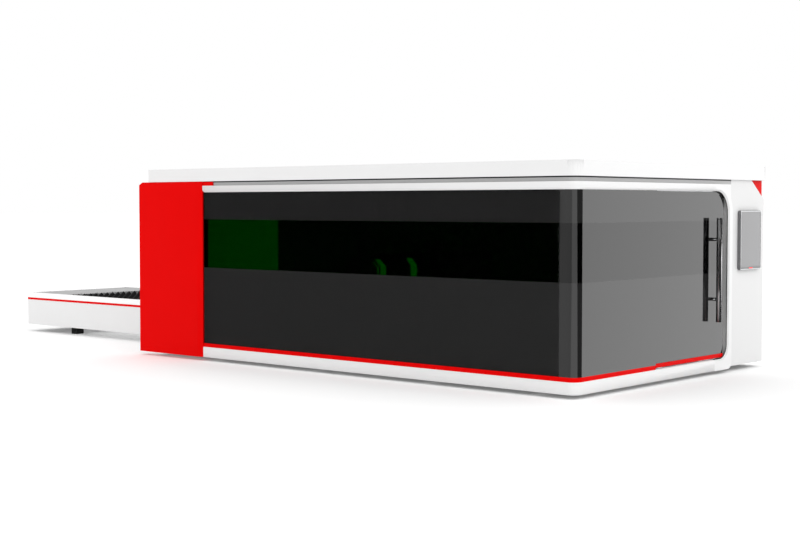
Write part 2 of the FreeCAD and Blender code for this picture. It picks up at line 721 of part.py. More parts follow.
def left_wall():
    """Left end wall with the doorway for the pallets."""
    low = FOOT_GAP + 50
    reach = (CABINET_LENGTH - FAR_THICK, CABINET_LENGTH)
    wall = block(reach, (NECK_RECESS, FAR_FACE - FAR_THICK), (low, HEADER_TOP))
    wall = wall.cut(block((0, CABINET_LENGTH + 1), (0, RED_PANEL_DEPTH), (0, LID_TOP)))
    doorway = block((reach[0] - 1, reach[1] + 1), (TABLE_NEAR - 2, TABLE_FAR + 2), (low - 1, DOORWAY_TOP))
    return wall.cut(doorway)


def doorway_curtain():
    """Short rubber strips over the pallet doorway."""
    strips = []
    for index in range(int((LANE_FAR - LANE_NEAR) / CURTAIN_PITCH)):
        start = LANE_NEAR + 4 + index * CURTAIN_PITCH
        strips.append(block((CABINET_LENGTH - 20, CABINET_LENGTH - 17), (start, start + CURTAIN_PITCH - 2),
                            (TABLE_TOP + 30, DOORWAY_TOP)))
    return strips


# ---- exchange table --------------------------------------------------------------------

def table_skirt(near):
    """Side cover of the table with a bevelled top lip."""
    def depth(inset):
        return TABLE_NEAR + inset if near else TABLE_FAR - inset
    low = TABLE_BOTTOM
    start, end = TABLE_START, TABLE_REACH - SHEET
    points = [(end, depth(0), low), (end, depth(SKIRT_THICK), low), (end, depth(SKIRT_THICK), TABLE_TOP),
              (end, depth(28), TABLE_TOP), (end, depth(0), TABLE_TOP - LIP_HEIGHT)]
    return slab(points, (end - start, 0, 0))


def table_end_plate():
    """Flat plate across the table's outer end."""
    return block((TABLE_REACH - SHEET, TABLE_REACH), (TABLE_NEAR, TABLE_FAR), (TABLE_BOTTOM, TABLE_TOP))


def table_strips():
    """Red trim strips along the two sides of the table."""
    heights = (TABLE_STRIP_BOTTOM, TABLE_STRIP_BOTTOM + TABLE_STRIP_HEIGHT)
    near = block((TABLE_START, TABLE_REACH), (TABLE_NEAR - TRIM_PROUD, TABLE_NEAR), heights)
    far = block((TABLE_START, TABLE_REACH), (TABLE_FAR, TABLE_FAR + TRIM_PROUD), heights)
    return [near, far]


def table_cover():
    """Grey plate over the drive end of the table."""
    heights = (TABLE_TOP - 12, TABLE_TOP - 6)
    return block((COVER_PLATE_END, TABLE_REACH - SHEET), (LANE_NEAR, LANE_FAR), heights)


def table_frame():
    """Long tubes and cross tubes that stand the table on its feet."""
    low, high = TABLE_BOTTOM + 2, UPPER_RAIL_TOP - LEVEL_DROP - RAIL_LEDGE_THICK
    inner = LANE_NEAR + RAIL_LEDGE_WIDTH
    pieces = [block((TABLE_START, TABLE_REACH - SHEET), (LANE_NEAR, inner), (low, high)),
              block((TABLE_START, TABLE_REACH - SHEET), (2 * MACHINE_CENTRE - inner, LANE_FAR), (low, high))]
    for reach in (TABLE_START + 70, TABLE_FEET[0] + 25, TABLE_FEET[1] + 25, CHAIN_REACH[1] - 25):
        pieces.append(block((reach, reach + 50), (inner, 2 * MACHINE_CENTRE - inner), (low, low + 24)))
    return fuse(pieces)


def pallet_rails():
    """Four ledges, at two levels, that carry the pallet wheels through bed and table."""
    ledges = []
    for top in (UPPER_RAIL_TOP, UPPER_RAIL_TOP - LEVEL_DROP):
        for depth in ((LANE_NEAR, LANE_NEAR + RAIL_LEDGE_WIDTH), (LANE_FAR - RAIL_LEDGE_WIDTH, LANE_FAR)):
            heights = (top - RAIL_LEDGE_THICK, top)
            ledges.append(block((BED_START + 300, COVER_PLATE_END + 20), depth, heights))
    return ledges


def foot(reach, depth, seat):
    """Levelling foot: a broad pad and a stud up to its seat."""
    pad = upright_rod(FOOT_PAD_RADIUS, reach, depth, (0, FOOT_PAD_HIGH))
    stud = upright_rod(FOOT_STUD_RADIUS, reach, depth, (FOOT_PAD_HIGH, seat))
    return fuse([pad, stud])


def cabinet_feet():
    """Levelling feet under the arms from the sill and under the far wall, set in out of sight."""
    feet = [foot(reach, FOOT_DEPTH, FOOT_GAP) for reach in NEAR_FEET]
    feet += [foot(reach, FAR_FACE - 20 - FOOT_PAD_RADIUS / 2, FOOT_GAP) for reach in FAR_FEET]
    return feet


def bed_feet():
    """Jacking feet under the two long bed beams."""
    feet = []
    for reach in (BED_START + 200, (BED_START + BED_END) / 2, BED_END - 200):
        for depth in (LANE_NEAR - BED_BEAM_WIDE / 2, LANE_FAR + BED_BEAM_WIDE / 2):
            feet.append(foot(reach, depth, BED_BOTTOM))
    return feet


def table_feet():
    """Black foot blocks under the table."""
    feet = []
    long, wide = TABLE_FOOT_SIZE
    for reach in TABLE_FEET:
        for depth in (TABLE_FOOT_DEPTH, 2 * MACHINE_CENTRE - TABLE_FOOT_DEPTH):
            depths = (depth - wide / 2, depth + wide / 2)
            feet.append(block((reach, reach + long), depths, (0, TABLE_BOTTOM + 2)))
    return feet


# ---- bed --------------------------------------------------------------------------------

def bed_beam(depths):
    """Long welded box beam, open at its ends."""
    outer = block((BED_START, BED_END), depths, (BED_BOTTOM, BED_TOP))
    inner = block((BED_START - 1, BED_END + 1), (depths[0] + BED_WALL, depths[1] - BED_WALL),
                  (BED_BOTTOM + BED_WALL, BED_TOP - BED_WALL))
    return outer.cut(inner)


def bed_crossmembers():
    """Low cross beams that tie the two bed beams together."""
    members = []
    for reach in (BED_START + 250, 2150, 3350, BED_END - 100):
        members.append(block((reach, reach + 90), (LANE_NEAR, LANE_FAR), (BED_BOTTOM, TRAY_FLOOR)))
    return members


def slag_trays():
    """Shallow trays on the cross beams that catch dross."""
    trays = []
    near, far = LANE_NEAR + RAIL_LEDGE_WIDTH + 40, LANE_FAR - RAIL_LEDGE_WIDTH - 40
    for start, end in TRAY_SPANS:
        outer = block((start, end), (near, far), (TRAY_FLOOR, TRAY_FLOOR + TRAY_HIGH))
        inner = block((start + TRAY_WALL, end - TRAY_WALL), (near + TRAY_WALL, far - TRAY_WALL),
                      (TRAY_FLOOR + TRAY_WALL, TRAY_FLOOR + TRAY_HIGH + 1))
        trays.append(outer.cut(inner))
    return trays


def dust_duct():
    """Fume duct along the far bed beam."""
    low, high = DUCT_HEIGHT
    wall = DUCT_WALL
    outer = block((DUCT_START, BED_END - 100), DUCT_DEPTH, (low, high))
    inner = block((DUCT_START - 1, BED_END - 100 - wall), (DUCT_DEPTH[0] + wall, DUCT_DEPTH[1] - wall),
                  (low + wall, high - wall))
    mouth = rod(SPIGOT_RADIUS - SPIGOT_WALL, *spigot_line(5))
    return outer.cut(inner).cut(mouth)


def x_rails():
    """Linear rails on top of the two bed beams."""
    return [block((BED_START + 50, BED_END - 50), (centre - RAIL_SIZE / 2, centre + RAIL_SIZE / 2),
                  (BED_TOP, BED_TOP + RAIL_SIZE)) for centre in X_RAIL_LINES]


def x_racks():
    """Drive racks beside the rails; their pitch faces look at the pinions."""
    reaches, heights = (BED_START + 50, BED_END - 50), (BED_TOP, BED_TOP + RAIL_SIZE)
    near = block(reaches, (RACK_LINE_NEAR - RACK_WIDE, RACK_LINE_NEAR), heights)
    far = block(reaches, (RACK_LINE_FAR, RACK_LINE_FAR + RACK_WIDE), heights)
    return [near, far]


# ---- gantry ---------------------------------------------------------------------------------

def gantry_beam():
    """Cross beam, a box tube open at its ends."""
    outer = block(GANTRY, BEAM_DEPTH, (GANTRY_BEAM_BOTTOM, BEAM_TOP))
    inner = block((GANTRY[0] + BEAM_WALL, GANTRY[1] - BEAM_WALL), (BEAM_DEPTH[0] - 1, BEAM_DEPTH[1] + 1),
                  (GANTRY_BEAM_BOTTOM + BEAM_WALL, BEAM_TOP - BEAM_WALL))
    return outer.cut(inner)


def gantry_feet():
    """End plates between the beam and the bearing blocks, notched for the carriage's sweep."""
    sweep = CARRIAGE_WIDE / 2 + CARRIAGE_TRAVEL + 20
    lane = (MACHINE_CENTRE - sweep, MACHINE_CENTRE + sweep)
    notch = block((GANTRY[0] - 81, GANTRY[0]), lane, (BEARING_TOP - 1, GANTRY_BEAM_BOTTOM + 1))
    feet = []
    for depths, rack, side in ((BED_NEAR, RACK_LINE_NEAR, 1), (BED_FAR, RACK_LINE_FAR, -1)):
        plate = block((GANTRY[0] - 80, GANTRY[1] + 80), (depths[0] + 5, depths[1] - 5),
                      (BEARING_TOP, GANTRY_BEAM_BOTTOM))
        axis = rack + side * (PINION_RADIUS + MESH_GAP)
        bore = upright_rod(SPINDLE_RADIUS + RUNNING_CLEARANCE, PINION_REACH, axis,
                           (BEARING_TOP - 1, GANTRY_BEAM_BOTTOM + 1))
        feet.append(plate.cut(bore).cut(notch))
    return feet


def bearing_blocks():
    """Four rail blocks that saddle the rails."""
    blocks = []
    long, wide = RAIL_BLOCK
    half = RAIL_SIZE / 2 + SADDLE_GAP
    for centre in X_RAIL_LINES:
        rail = block((BED_START, BED_END), (centre - half, centre + half),
                     (BED_TOP, BED_TOP + RAIL_SIZE + SADDLE_GAP))
        for start in (GANTRY[0] - long / 2, GANTRY[1] - long / 2):
            depths = (centre - wide / 2, centre + wide / 2)
            blocks.append(block((start, start + long), depths, (BED_TOP + 6, BEARING_TOP)).cut(rail))
    return blocks


def pinion(reach, depth, low, shaft_top):
    """Drive pinion on its motor shaft, about an upright axis."""
    gear = upright_rod(PINION_RADIUS, reach, depth, (low, low + PINION_FACE))
    shaft = upright_rod(SPINDLE_RADIUS, reach, depth, (low + PINION_FACE, shaft_top))
    return fuse([gear, shaft])


def x_pinion(rack, side):
    """Pinion against one of the two long racks."""
    axis = rack + side * (PINION_RADIUS + MESH_GAP)
    return pinion(PINION_REACH, axis, BED_TOP + 2, GANTRY_BEAM_BOTTOM - 1)


def x_motors():
    """Servo motors that stand on the gantry's end plates."""
    motors = []
    long, wide, high = X_MOTOR_SIZE
    reaches = (PINION_REACH - long / 2, PINION_REACH + long / 2)
    for rack, side in ((RACK_LINE_NEAR, 1), (RACK_LINE_FAR, -1)):
        axis = rack + side * (PINION_RADIUS + MESH_GAP)
        depths = (axis - wide / 2, axis + wide / 2)
        motors.append(block(reaches, depths, (GANTRY_BEAM_BOTTOM, GANTRY_BEAM_BOTTOM + high)))
    return motors


def y_rails():
    """Two linear rails on the beam's front face."""
    return [block((GANTRY[0] - RAIL_SIZE, GANTRY[0]), (BEAM_DEPTH[0] + 20, BEAM_DEPTH[1] - 20),
                  (height - RAIL_SIZE / 2, height + RAIL_SIZE / 2)) for height in Y_RAIL_HEIGHTS]


def y_rack():
    """Rack along the top of the beam."""
    return block((GANTRY[0] + 10, GANTRY[0] + 10 + RACK_WIDE), (BEAM_DEPTH[0] + 20, BEAM_DEPTH[1] - 20),
                 (BEAM_TOP, BEAM_TOP + RACK_WIDE))


def carriage_plate():
    """Saddle plate on four rail blocks, with a bracket over the beam for its motor."""
    face = PLATE_REACH
    half = RAIL_SIZE / 2 + SADDLE_GAP
    pieces = [block((HEAD_FACE, face), CARRIAGE_DEPTH, (GANTRY_BEAM_BOTTOM - 20, BEAM_TOP + 140))]
    for height in Y_RAIL_HEIGHTS:
        rail = block((GANTRY[0] - RAIL_SIZE - SADDLE_GAP, GANTRY[0] + 1), BEAM_DEPTH,
                     (height - half, height + half))
        for start in (CARRIAGE_DEPTH[0] + 20, CARRIAGE_DEPTH[1] - 110):
            saddle = block((face, GANTRY[0] - 6), (start, start + 90), (height - 32, height + 32))
            pieces.append(saddle.cut(rail))
    radius = SPINDLE_RADIUS + RUNNING_CLEARANCE
    return fuse(pieces).cut(long_rod(radius, (face - 30, face + 30), MACHINE_CENTRE, Y_PINION_HEIGHT))


def y_pinion():
    """Carriage pinion on its shaft, about an axis along the bed."""
    start = GANTRY[0] + 9
    gear = long_rod(PINION_RADIUS, (start, start + 27), MACHINE_CENTRE, Y_PINION_HEIGHT)
    shaft = long_rod(SPINDLE_RADIUS, (HEAD_FACE + 1, start), MACHINE_CENTRE, Y_PINION_HEIGHT)
    return fuse([gear, shaft])


def z_rails():
    """Two upright rails on the saddle plate."""
    heights = (GANTRY_BEAM_BOTTOM - 10, BEAM_TOP + 70)
    return [block((HEAD_FACE - Z_RAIL, HEAD_FACE), (depth - Z_RAIL / 2, depth + Z_RAIL / 2), heights)
            for depth in Z_RAIL_LINES]


def z_motor():
    """Head drive motor on the bracket at the top of the saddle plate."""
    depths = (MACHINE_CENTRE - 38, MACHINE_CENTRE + 38)
    return block((HEAD_FACE - 64, HEAD_FACE), depths, (BEAM_TOP + 75, BEAM_TOP + 138))


def head_slide():
    """Moving plate of the head, on blocks that saddle the upright rails."""
    pieces = [block((SLIDE_FACE - SLIDE_PLATE, SLIDE_FACE), (MACHINE_CENTRE - 120, MACHINE_CENTRE + 120),
                    (GANTRY_BEAM_BOTTOM - 20, GANTRY_BEAM_BOTTOM + 200))]
    half = Z_RAIL / 2 + SADDLE_GAP
    for depth in Z_RAIL_LINES:
        slot = block((HEAD_FACE - Z_RAIL - SADDLE_GAP, HEAD_FACE + 1), (depth - half, depth + half),
                     (0, LID_TOP))
        for low in (GANTRY_BEAM_BOTTOM, GANTRY_BEAM_BOTTOM + 120):
            saddle = block((SLIDE_FACE, HEAD_FACE - 4), (depth - 24, depth + 24), (low, low + 60))
            pieces.append(saddle.cut(slot))
    return fuse(pieces)


def cutting_head():
    """Cutting head: collimator, lens block and lower cone, on its clamp."""
    low = NOZZLE_REST + NOZZLE_HIGH
    clamp = block((HEAD_AXIS, SLIDE_FACE - SLIDE_PLATE), (MACHINE_CENTRE - 40, MACHINE_CENTRE + 40),
                  (GANTRY_BEAM_BOTTOM + 20, GANTRY_BEAM_BOTTOM + 180))
    barrel = upright_rod(HEAD_RADIUS, HEAD_AXIS, MACHINE_CENTRE, (low + CONE_HIGH, HEAD_TOP))
    cap = upright_rod(HEAD_CAP[0], HEAD_AXIS, MACHINE_CENTRE, (HEAD_TOP, HEAD_CAP[1]))
    foot_at = at(HEAD_AXIS, MACHINE_CENTRE, low)
    cone = Part.makeCone(NOZZLE_RADIUS[1], HEAD_RADIUS, CONE_HIGH, foot_at, Vector(0, 0, 1))
    return fuse([clamp, barrel, cap, cone])


def nozzle():
    """Copper nozzle with its gas hole."""
    tip = at(HEAD_AXIS, MACHINE_CENTRE, NOZZLE_REST)
    body = Part.makeCone(*NOZZLE_RADIUS, NOZZLE_HIGH, tip, Vector(0, 0, 1))
    return body.cut(upright_rod(GAS_HOLE, HEAD_AXIS, MACHINE_CENTRE, (NOZZLE_REST - 1, NOZZLE_REST + 50)))


# ---- pallets --------------------------------------------------------------------------------

def pallet_places(level):
    """Reach of the near end and height of the rail top for the upper or lower pallet."""
    if level == "upper":
        return PALLET_REST_REACH, UPPER_RAIL_TOP
    return PALLET_REST_REACH - PALLET_TRAVEL, UPPER_RAIL_TOP - LEVEL_DROP


def axle_places(level):
    """Reach of the two axles of a pallet."""
    start, rail = pallet_places(level)
    return start + AXLE_INSET, start + PALLET_LENGTH - AXLE_INSET


def pallet_frame(level):
    """Welded pallet frame with bores for its two axles."""
    start, rail = pallet_places(level)
    low = rail + WHEEL_RADIUS - PALLET_FRAME_HIGH / 2
    high = low + PALLET_FRAME_HIGH
    outer = block((start, start + PALLET_LENGTH), PALLET_DEPTH, (low, high))
    wide = PALLET_FRAME_WIDE
    inner = block((start + wide, start + PALLET_LENGTH - wide),
                  (PALLET_DEPTH[0] + wide, PALLET_DEPTH[1] - wide), (low - 1, high + 1))
    shape = outer.cut(inner)
    through = (PALLET_DEPTH[0] - 1, PALLET_DEPTH[1] + 1)
    for reach in axle_places(level):
        shape = shape.cut(cross_rod(AXLE_RADIUS + RUNNING_CLEARANCE, reach, through, rail + WHEEL_RADIUS))
    return shape


def pallet_slats(level):
    """Toothed slats across the pallet, standing on its frame."""
    start, rail = pallet_places(level)
    low = rail + WHEEL_RADIUS + PALLET_FRAME_HIGH / 2
    high = low + SLAT_RISE
    width = PALLET_DEPTH[1] - PALLET_DEPTH[0]
    pitch = width / SLAT_TEETH
    count = int((PALLET_LENGTH - 20) / SLAT_PITCH)
    slats = []
    for index in range(count + 1):
        reach = start + 10 + index * (PALLET_LENGTH - 20 - SLAT_THICK) / count
        points = [(reach, PALLET_DEPTH[0], low), (reach, PALLET_DEPTH[1], low)]
        for tooth in range(SLAT_TEETH, 0, -1):
            points.append((reach, PALLET_DEPTH[0] + tooth * pitch, high - SLAT_TOOTH))
            points.append((reach, PALLET_DEPTH[0] + (tooth - 0.5) * pitch, high))
        points.append((reach, PALLET_DEPTH[0], high - SLAT_TOOTH))
        slats.append(slab(points, (-SLAT_THICK, 0, 0)))
    return slats


def pallet_axle(level, index):
    """Axle through the pallet frame with a wheel on each end."""
    start, rail = pallet_places(level)
    reach = axle_places(level)[index]
    height = rail + WHEEL_RADIUS
    near = LANE_NEAR + 6
    far = LANE_FAR - 6
    radius = WHEEL_RADIUS - WHEEL_GAP
    axle = cross_rod(AXLE_RADIUS, reach, (near + 2, far - 2), height)
    wheels = [cross_rod(radius, reach, depths, height)
              for depths in ((near, near + WHEEL_WIDTH), (far - WHEEL_WIDTH, far))]
    return fuse([axle] + wheels)


# ---- pallet drive ---------------------------------------------------------------------------

def chain_loops():
    """Side plates of the two roller chains, as flat racetrack bands."""
    loops = []
    half = CHAIN_BAND / 2
    for line in CHAIN_LINES:
        for start in (line, line + CHAIN_PLATE + CHAIN_GAP):
            outer = racetrack(SPROCKET_RADIUS + half, start)
            loops.append(outer.cut(racetrack(SPROCKET_RADIUS - half, start)))
    return loops


def racetrack(radius, depth):
    """Flat loop outline around the two sprocket centres, one plate thick."""
    depths = (depth, depth + CHAIN_PLATE)
    shape = block(CHAIN_REACH, depths, (CHAIN_HEIGHT - radius, CHAIN_HEIGHT + radius))
    return fuse([shape] + [cross_rod(radius, reach, depths, CHAIN_HEIGHT) for reach in CHAIN_REACH])


def sprocket(reach, line):
    """Toothed disc that runs between the chain's side plates."""
    tip = SPROCKET_RADIUS + 5
    root = SPROCKET_RADIUS - 7
    depth = line + CHAIN_PLATE + SADDLE_GAP
    points = []
    for index in range(SPROCKET_TEETH):
        for share, radius in ((-0.3, root), (-0.12, tip), (0.12, tip), (0.3, root)):
            angle = 2 * math.pi * (index + share) / SPROCKET_TEETH
            points.append((reach + radius * math.cos(angle), depth, CHAIN_HEIGHT + radius * math.sin(angle)))
    return slab(points, (0, CHAIN_GAP - 2 * SADDLE_GAP, 0))


def cross_shaft(reach):
    """Cross shaft with a sprocket near each side, for one end of the chains."""
    shaft = cross_rod(SHAFT_RADIUS, reach, (LANE_NEAR + 4, LANE_FAR - 4), CHAIN_HEIGHT)
    return fuse([shaft] + [sprocket(reach, line) for line in CHAIN_LINES])


def shaft_bearings():
    """Bearing blocks for the two cross shafts, on the skirts and the bed beams."""
    blocks = []
    half = BEARING_HALF
    for reach in CHAIN_REACH:
        for depths in ((LANE_NEAR, LANE_NEAR + BEARING_THICK), (LANE_FAR - BEARING_THICK, LANE_FAR)):
            body = block((reach - half, reach + half), depths, (CHAIN_HEIGHT - half, CHAIN_HEIGHT + half))
            blocks.append(body.cut(shaft_bore(reach, depths)))
    return blocks


def shaft_bore(reach, depths):
    """Waste of a cross shaft's bore through two depths."""
    return cross_rod(SHAFT_RADIUS + RUNNING_CLEARANCE, reach, (depths[0] - 1, depths[1] + 1), CHAIN_HEIGHT)


def drive_gearbox():
    """Hollow-shaft gearbox and its motor on the drive shaft."""
    reach = CHAIN_REACH[1]
    half = GEARBOX_HALF
    depths = (MACHINE_CENTRE - half, MACHINE_CENTRE + half)
    body = block((reach - half, reach + half), depths, (TABLE_BOTTOM + 26, CHAIN_HEIGHT + 110))
    motor = cross_rod(GEARMOTOR_RADIUS, reach, (depths[0] + 5, depths[1] - 5), CHAIN_HEIGHT + 160)
    return fuse([body, motor]).cut(shaft_bore(reach, depths))


# ---- control bay contents ---------------------------------------------------------------------

def electrical_rack():
    """Back plate with rows of drives and switchgear."""
    back = BAY_DEPTH[0] + 60
    face = back + SHEET
    boxes = [block(RACK_PLATE, (back, face), (RACK_ROWS[0] - 60, RACK_ROWS[-1] + 290))]
    long, deep, high = RACK_UNIT
    pitch = (RACK_PLATE[1] - RACK_PLATE[0] - 40) / RACK_COLUMNS
    for height in RACK_ROWS:
        for column in range(RACK_COLUMNS):
            start = RACK_PLATE[0] + 30 + column * pitch
            boxes.append(block((start, start + long), (face, face + deep), (height, height + high)))
    return fuse(boxes)


def bay_floor():
    """Shelf that carries the laser source and the switchgear plate."""
    top = SILL_TOP + BAY_FLOOR_THICK
    floor = block((110, 1500), (BAY_DEPTH[0], FAR_FACE - FAR_THICK), (SILL_TOP, top))
    posts = [block((reach, reach + 40), (BAY_DEPTH[0] + 40, BAY_DEPTH[0] + 80), (top, RACK_ROWS[-1] + 340))
             for reach in BAY_POSTS]
    return fuse([floor] + posts)


def laser_source():
    """Fibre laser source cabinet."""
    depths = (BAY_DEPTH[0] + 20, BAY_DEPTH[1] + 20)
    return block(SOURCE_REACH, depths, (SILL_TOP + BAY_FLOOR_THICK, SOURCE_TOP))


def cable_chain():
    """Energy chain for the gantry, laid as a loop in a tray outside the near bed beam."""
    start, end = ENERGY_CHAIN_REACH

    def tongue(radius, first, depths):
        """Flat run closed by a half round."""
        run = block((first, end), depths, (ENERGY_CHAIN_MIDDLE - radius, ENERGY_CHAIN_MIDDLE + radius))
        return fuse([run, cross_rod(radius, end, depths, ENERGY_CHAIN_MIDDLE)])
    near, far = ENERGY_CHAIN_DEPTH
    outer = tongue(ENERGY_CHAIN_BEND, start, (near, far))
    return outer.cut(tongue(ENERGY_CHAIN_BEND - ENERGY_CHAIN_BAND, start - 1, (near - 1, far + 1)))


def chain_tray():
    """Tray bracketed to the near bed beam under the energy chain."""
    top = ENERGY_CHAIN_MIDDLE - ENERGY_CHAIN_BEND
    depths = (BED_NEAR[0] - 120, BED_NEAR[0])
    return block((BED_START + 100, BED_END - 100), depths, (top - CHAIN_TRAY_THICK, top))


def fixed_nodes():
    """Write every piece of the standing machine."""
    save("sill", sill())
    save("header", header())
    save("base_ring", [base_ring(), bay_post()] + foot_arms())
    save("end_upright", end_upright())
    save("neck", neck())
    save("lid", lid())
    save("lid_ribs", lid_ribs())
    save("red_panel", [red_panel(), red_tab()])
    save("side_glass", side_glass())
    save("corner_glass", corner_glass())
    save("side_strip", side_strip())
    save("liners", [liner(SILL_TOP + STRIP_HEIGHT, WINDOW_BOTTOM), liner(WINDOW_TOP, HEADER_BOTTOM)])
    save("laser_window", laser_window())
    save("side_panel", side_panel())
    save("corner_wedge", corner_wedge())
    save("door_channels", door_channels())
    save("monitor_shell", monitor_shell())
    save("monitor_glass", monitor_glass())
    save("far_wall", far_wall())
    save("service_hinges", service_hinges())
    save("outlet_collar", outlet_collar())
    save("left_wall", left_wall())
    save("doorway_curtain", doorway_curtain())
    save("table_covers", [table_skirt(True), table_skirt(False), table_end_plate()])
    save("table_strips", table_strips())
    save("table_cover", table_cover())
    save("table_frame", table_frame())
    save("pallet_rails", pallet_rails())
    save("feet", cabinet_feet() + bed_feet() + table_feet())
    save("bed", fuse([bed_beam(BED_NEAR), bed_beam(BED_FAR)] + bed_crossmembers()))
    save("slag_trays", slag_trays())
    save("dust_duct", dust_duct())
    save("x_rails_and_racks", x_rails() + x_racks())
    save("pallet_chains", chain_loops())
    save("pallet_drive", shaft_bearings() + [drive_gearbox()])
    save("control_bay", [bay_floor(), electrical_rack(), laser_source()])
    save("energy_chain", [cable_chain(), chain_tray()])


def moving_nodes():
    """Write every piece that moves, body by body."""
    save("door_glass", door_glass())
    save("door_rails", door_rails() + door_shoes())
    save("handle", [handle_bar()] + handle_posts())
    for name, (low, high) in SERVICE_DOORS.items():
        save(name, [service_door(low, high), door_latch(low)])
    save("gantry_beam", gantry_beam())
    save("gantry_feet", gantry_feet() + bearing_blocks())
    save("gantry_drives", x_motors() + y_rails() + [y_rack()])
    save("x_pinion_near", x_pinion(RACK_LINE_NEAR, 1))
    save("x_pinion_far", x_pinion(RACK_LINE_FAR, -1))
    save("carriage", [carriage_plate(), z_motor()] + z_rails())
    save("y_pinion", y_pinion())
    save("cutting_head", [head_slide(), cutting_head(), nozzle()])
    save("drive_shaft", cross_shaft(CHAIN_REACH[1]))
    save("idler_shaft", cross_shaft(CHAIN_REACH[0]))
    for level in ("upper", "lower"):
        save(f"{level}_pallet", pallet_frame(level))
        save(f"{level}_slats", pallet_slats(level))
        for index, place in enumerate(("inner", "outer")):
            save(f"{level}_axle_{place}", pallet_axle(level, index))


os.makedirs("parts", exist_ok=True)
fixed_nodes()
moving_nodes()
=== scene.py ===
"""Looks of an enclosed flat-bed laser cutting machine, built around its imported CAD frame."""

import json
import math

import bmesh
import bpy
from mathutils import Euler, Matrix, Vector

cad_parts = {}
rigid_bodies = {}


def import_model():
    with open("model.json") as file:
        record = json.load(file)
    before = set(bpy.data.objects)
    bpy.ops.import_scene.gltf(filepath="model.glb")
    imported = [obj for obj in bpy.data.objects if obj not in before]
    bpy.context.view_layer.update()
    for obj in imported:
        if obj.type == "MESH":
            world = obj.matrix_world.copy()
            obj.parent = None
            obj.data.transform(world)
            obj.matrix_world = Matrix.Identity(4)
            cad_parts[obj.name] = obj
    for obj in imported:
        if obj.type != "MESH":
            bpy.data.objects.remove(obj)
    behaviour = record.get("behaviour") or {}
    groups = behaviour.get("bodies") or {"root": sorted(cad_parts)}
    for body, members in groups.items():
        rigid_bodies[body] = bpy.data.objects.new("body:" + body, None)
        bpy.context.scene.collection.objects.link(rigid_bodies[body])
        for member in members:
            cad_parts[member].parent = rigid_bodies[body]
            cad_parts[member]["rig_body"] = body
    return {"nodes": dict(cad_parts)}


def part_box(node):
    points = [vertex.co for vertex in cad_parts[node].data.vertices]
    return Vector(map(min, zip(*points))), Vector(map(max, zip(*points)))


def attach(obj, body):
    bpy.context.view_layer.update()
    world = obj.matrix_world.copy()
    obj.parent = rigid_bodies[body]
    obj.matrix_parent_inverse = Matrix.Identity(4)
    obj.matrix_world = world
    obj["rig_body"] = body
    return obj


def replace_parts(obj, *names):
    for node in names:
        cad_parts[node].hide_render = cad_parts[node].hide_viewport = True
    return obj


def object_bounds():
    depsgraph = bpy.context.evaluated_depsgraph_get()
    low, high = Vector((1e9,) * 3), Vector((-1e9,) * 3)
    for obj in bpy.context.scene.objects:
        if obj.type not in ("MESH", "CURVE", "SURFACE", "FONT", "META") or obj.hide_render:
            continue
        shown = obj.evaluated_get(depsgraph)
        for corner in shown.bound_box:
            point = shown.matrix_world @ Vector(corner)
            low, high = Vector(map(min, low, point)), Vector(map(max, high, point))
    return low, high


bl_info = {
    "name": "Laser Cutting Machine",
    "version": (1, 0, 0),
    "blender": (4, 5, 0),
    "location": "View3D > Sidebar > Laser Machine",
    "description": "Finishes and small parts of an enclosed laser cutting machine",
    "category": "Object",
}

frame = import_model()
CAD_LOW, CAD_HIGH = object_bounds()

SMOOTH_ANGLE = math.radians(35)
CLEAR = 0.0004

# Sizes of the CAD parts that the small parts fit, in metres
TIP_BAND = 0.03
TIP_HEIGHT = 0.012
UPRIGHT_WIDE = 0.075
UPRIGHT_OUTER_ROUND = 0.279
OPENING_TOP_ROUND = 0.21
OPENING_FOOT_ROUND = 0.13
GASKET_INSET = 0.016
HANDLE_ROUND = 0.027
CHAIN_PLATE_HALF = 0.008
CHAIN_HALF = 0.007
ROLLER_HALF = 0.0039
BAND_HALF = 0.017
# Height of the black band painted along the top of the neck: a painted shadow line under the lid
LID_SHADOW_BAND = 0.012
FOOT_PAD_HIGH = 0.018
FOOT_PAD_WIDE = 0.11
HEAD_AXIS_INSET = 0.045

LAMP_CELLS = 8

# Places of the work lamp and of the guide strips inside, which glow as painted light though they are no
# lamps: low and high ends in metres
LAMP_SPAN = (-1.26, 0.2)
LAMP_HEIGHT = (0.82, 1.56)
STRIP_LINE = (-1.112, -1.101)
STRIP_FOOT = 0.565
# Each guide strip: place along the machine, width, height of its bend, lean of its tip, top
GUIDE_STRIPS = (
    (1.790, 0.009, 1.022, -0.073, 1.085),
    (1.833, 0.065, 1.040, -0.080, 1.110),
    (2.233, 0.069, 1.062, -0.064, 1.133),
)

# Stage. Each card: name, first and last angle round the glazed corner in degrees, radiance
CARD_DISTANCE = 12.0
CARD_HEIGHT = 1.5
CARD_TALL = 9.0
CARDS = (("front_card", -35.6, 14, 0.85), ("corner_card", 14, 79, 1.6), ("end_card", 146, 172, 2.3))
FLOOR_SPAN = 400.0
LENS = 64.08
CAMERA_PLACE = (11.3266, -11.7396, 1.6579)
CAMERA_AIM = (-0.65531, 0.75411, -0.04334)


# ---- sizes and colours ------------------------------------------------------------------------


def length(name, description, default):
    """A length property in metres."""
    return bpy.props.FloatProperty(
        name=name, description=description, default=default, min=0.0001, subtype="DISTANCE", unit="LENGTH")


def colour(name, description, default):
    """A linear colour property."""
    return bpy.props.FloatVectorProperty(
        name=name, description=description, default=default, size=3, min=0, max=1, subtype="COLOR")


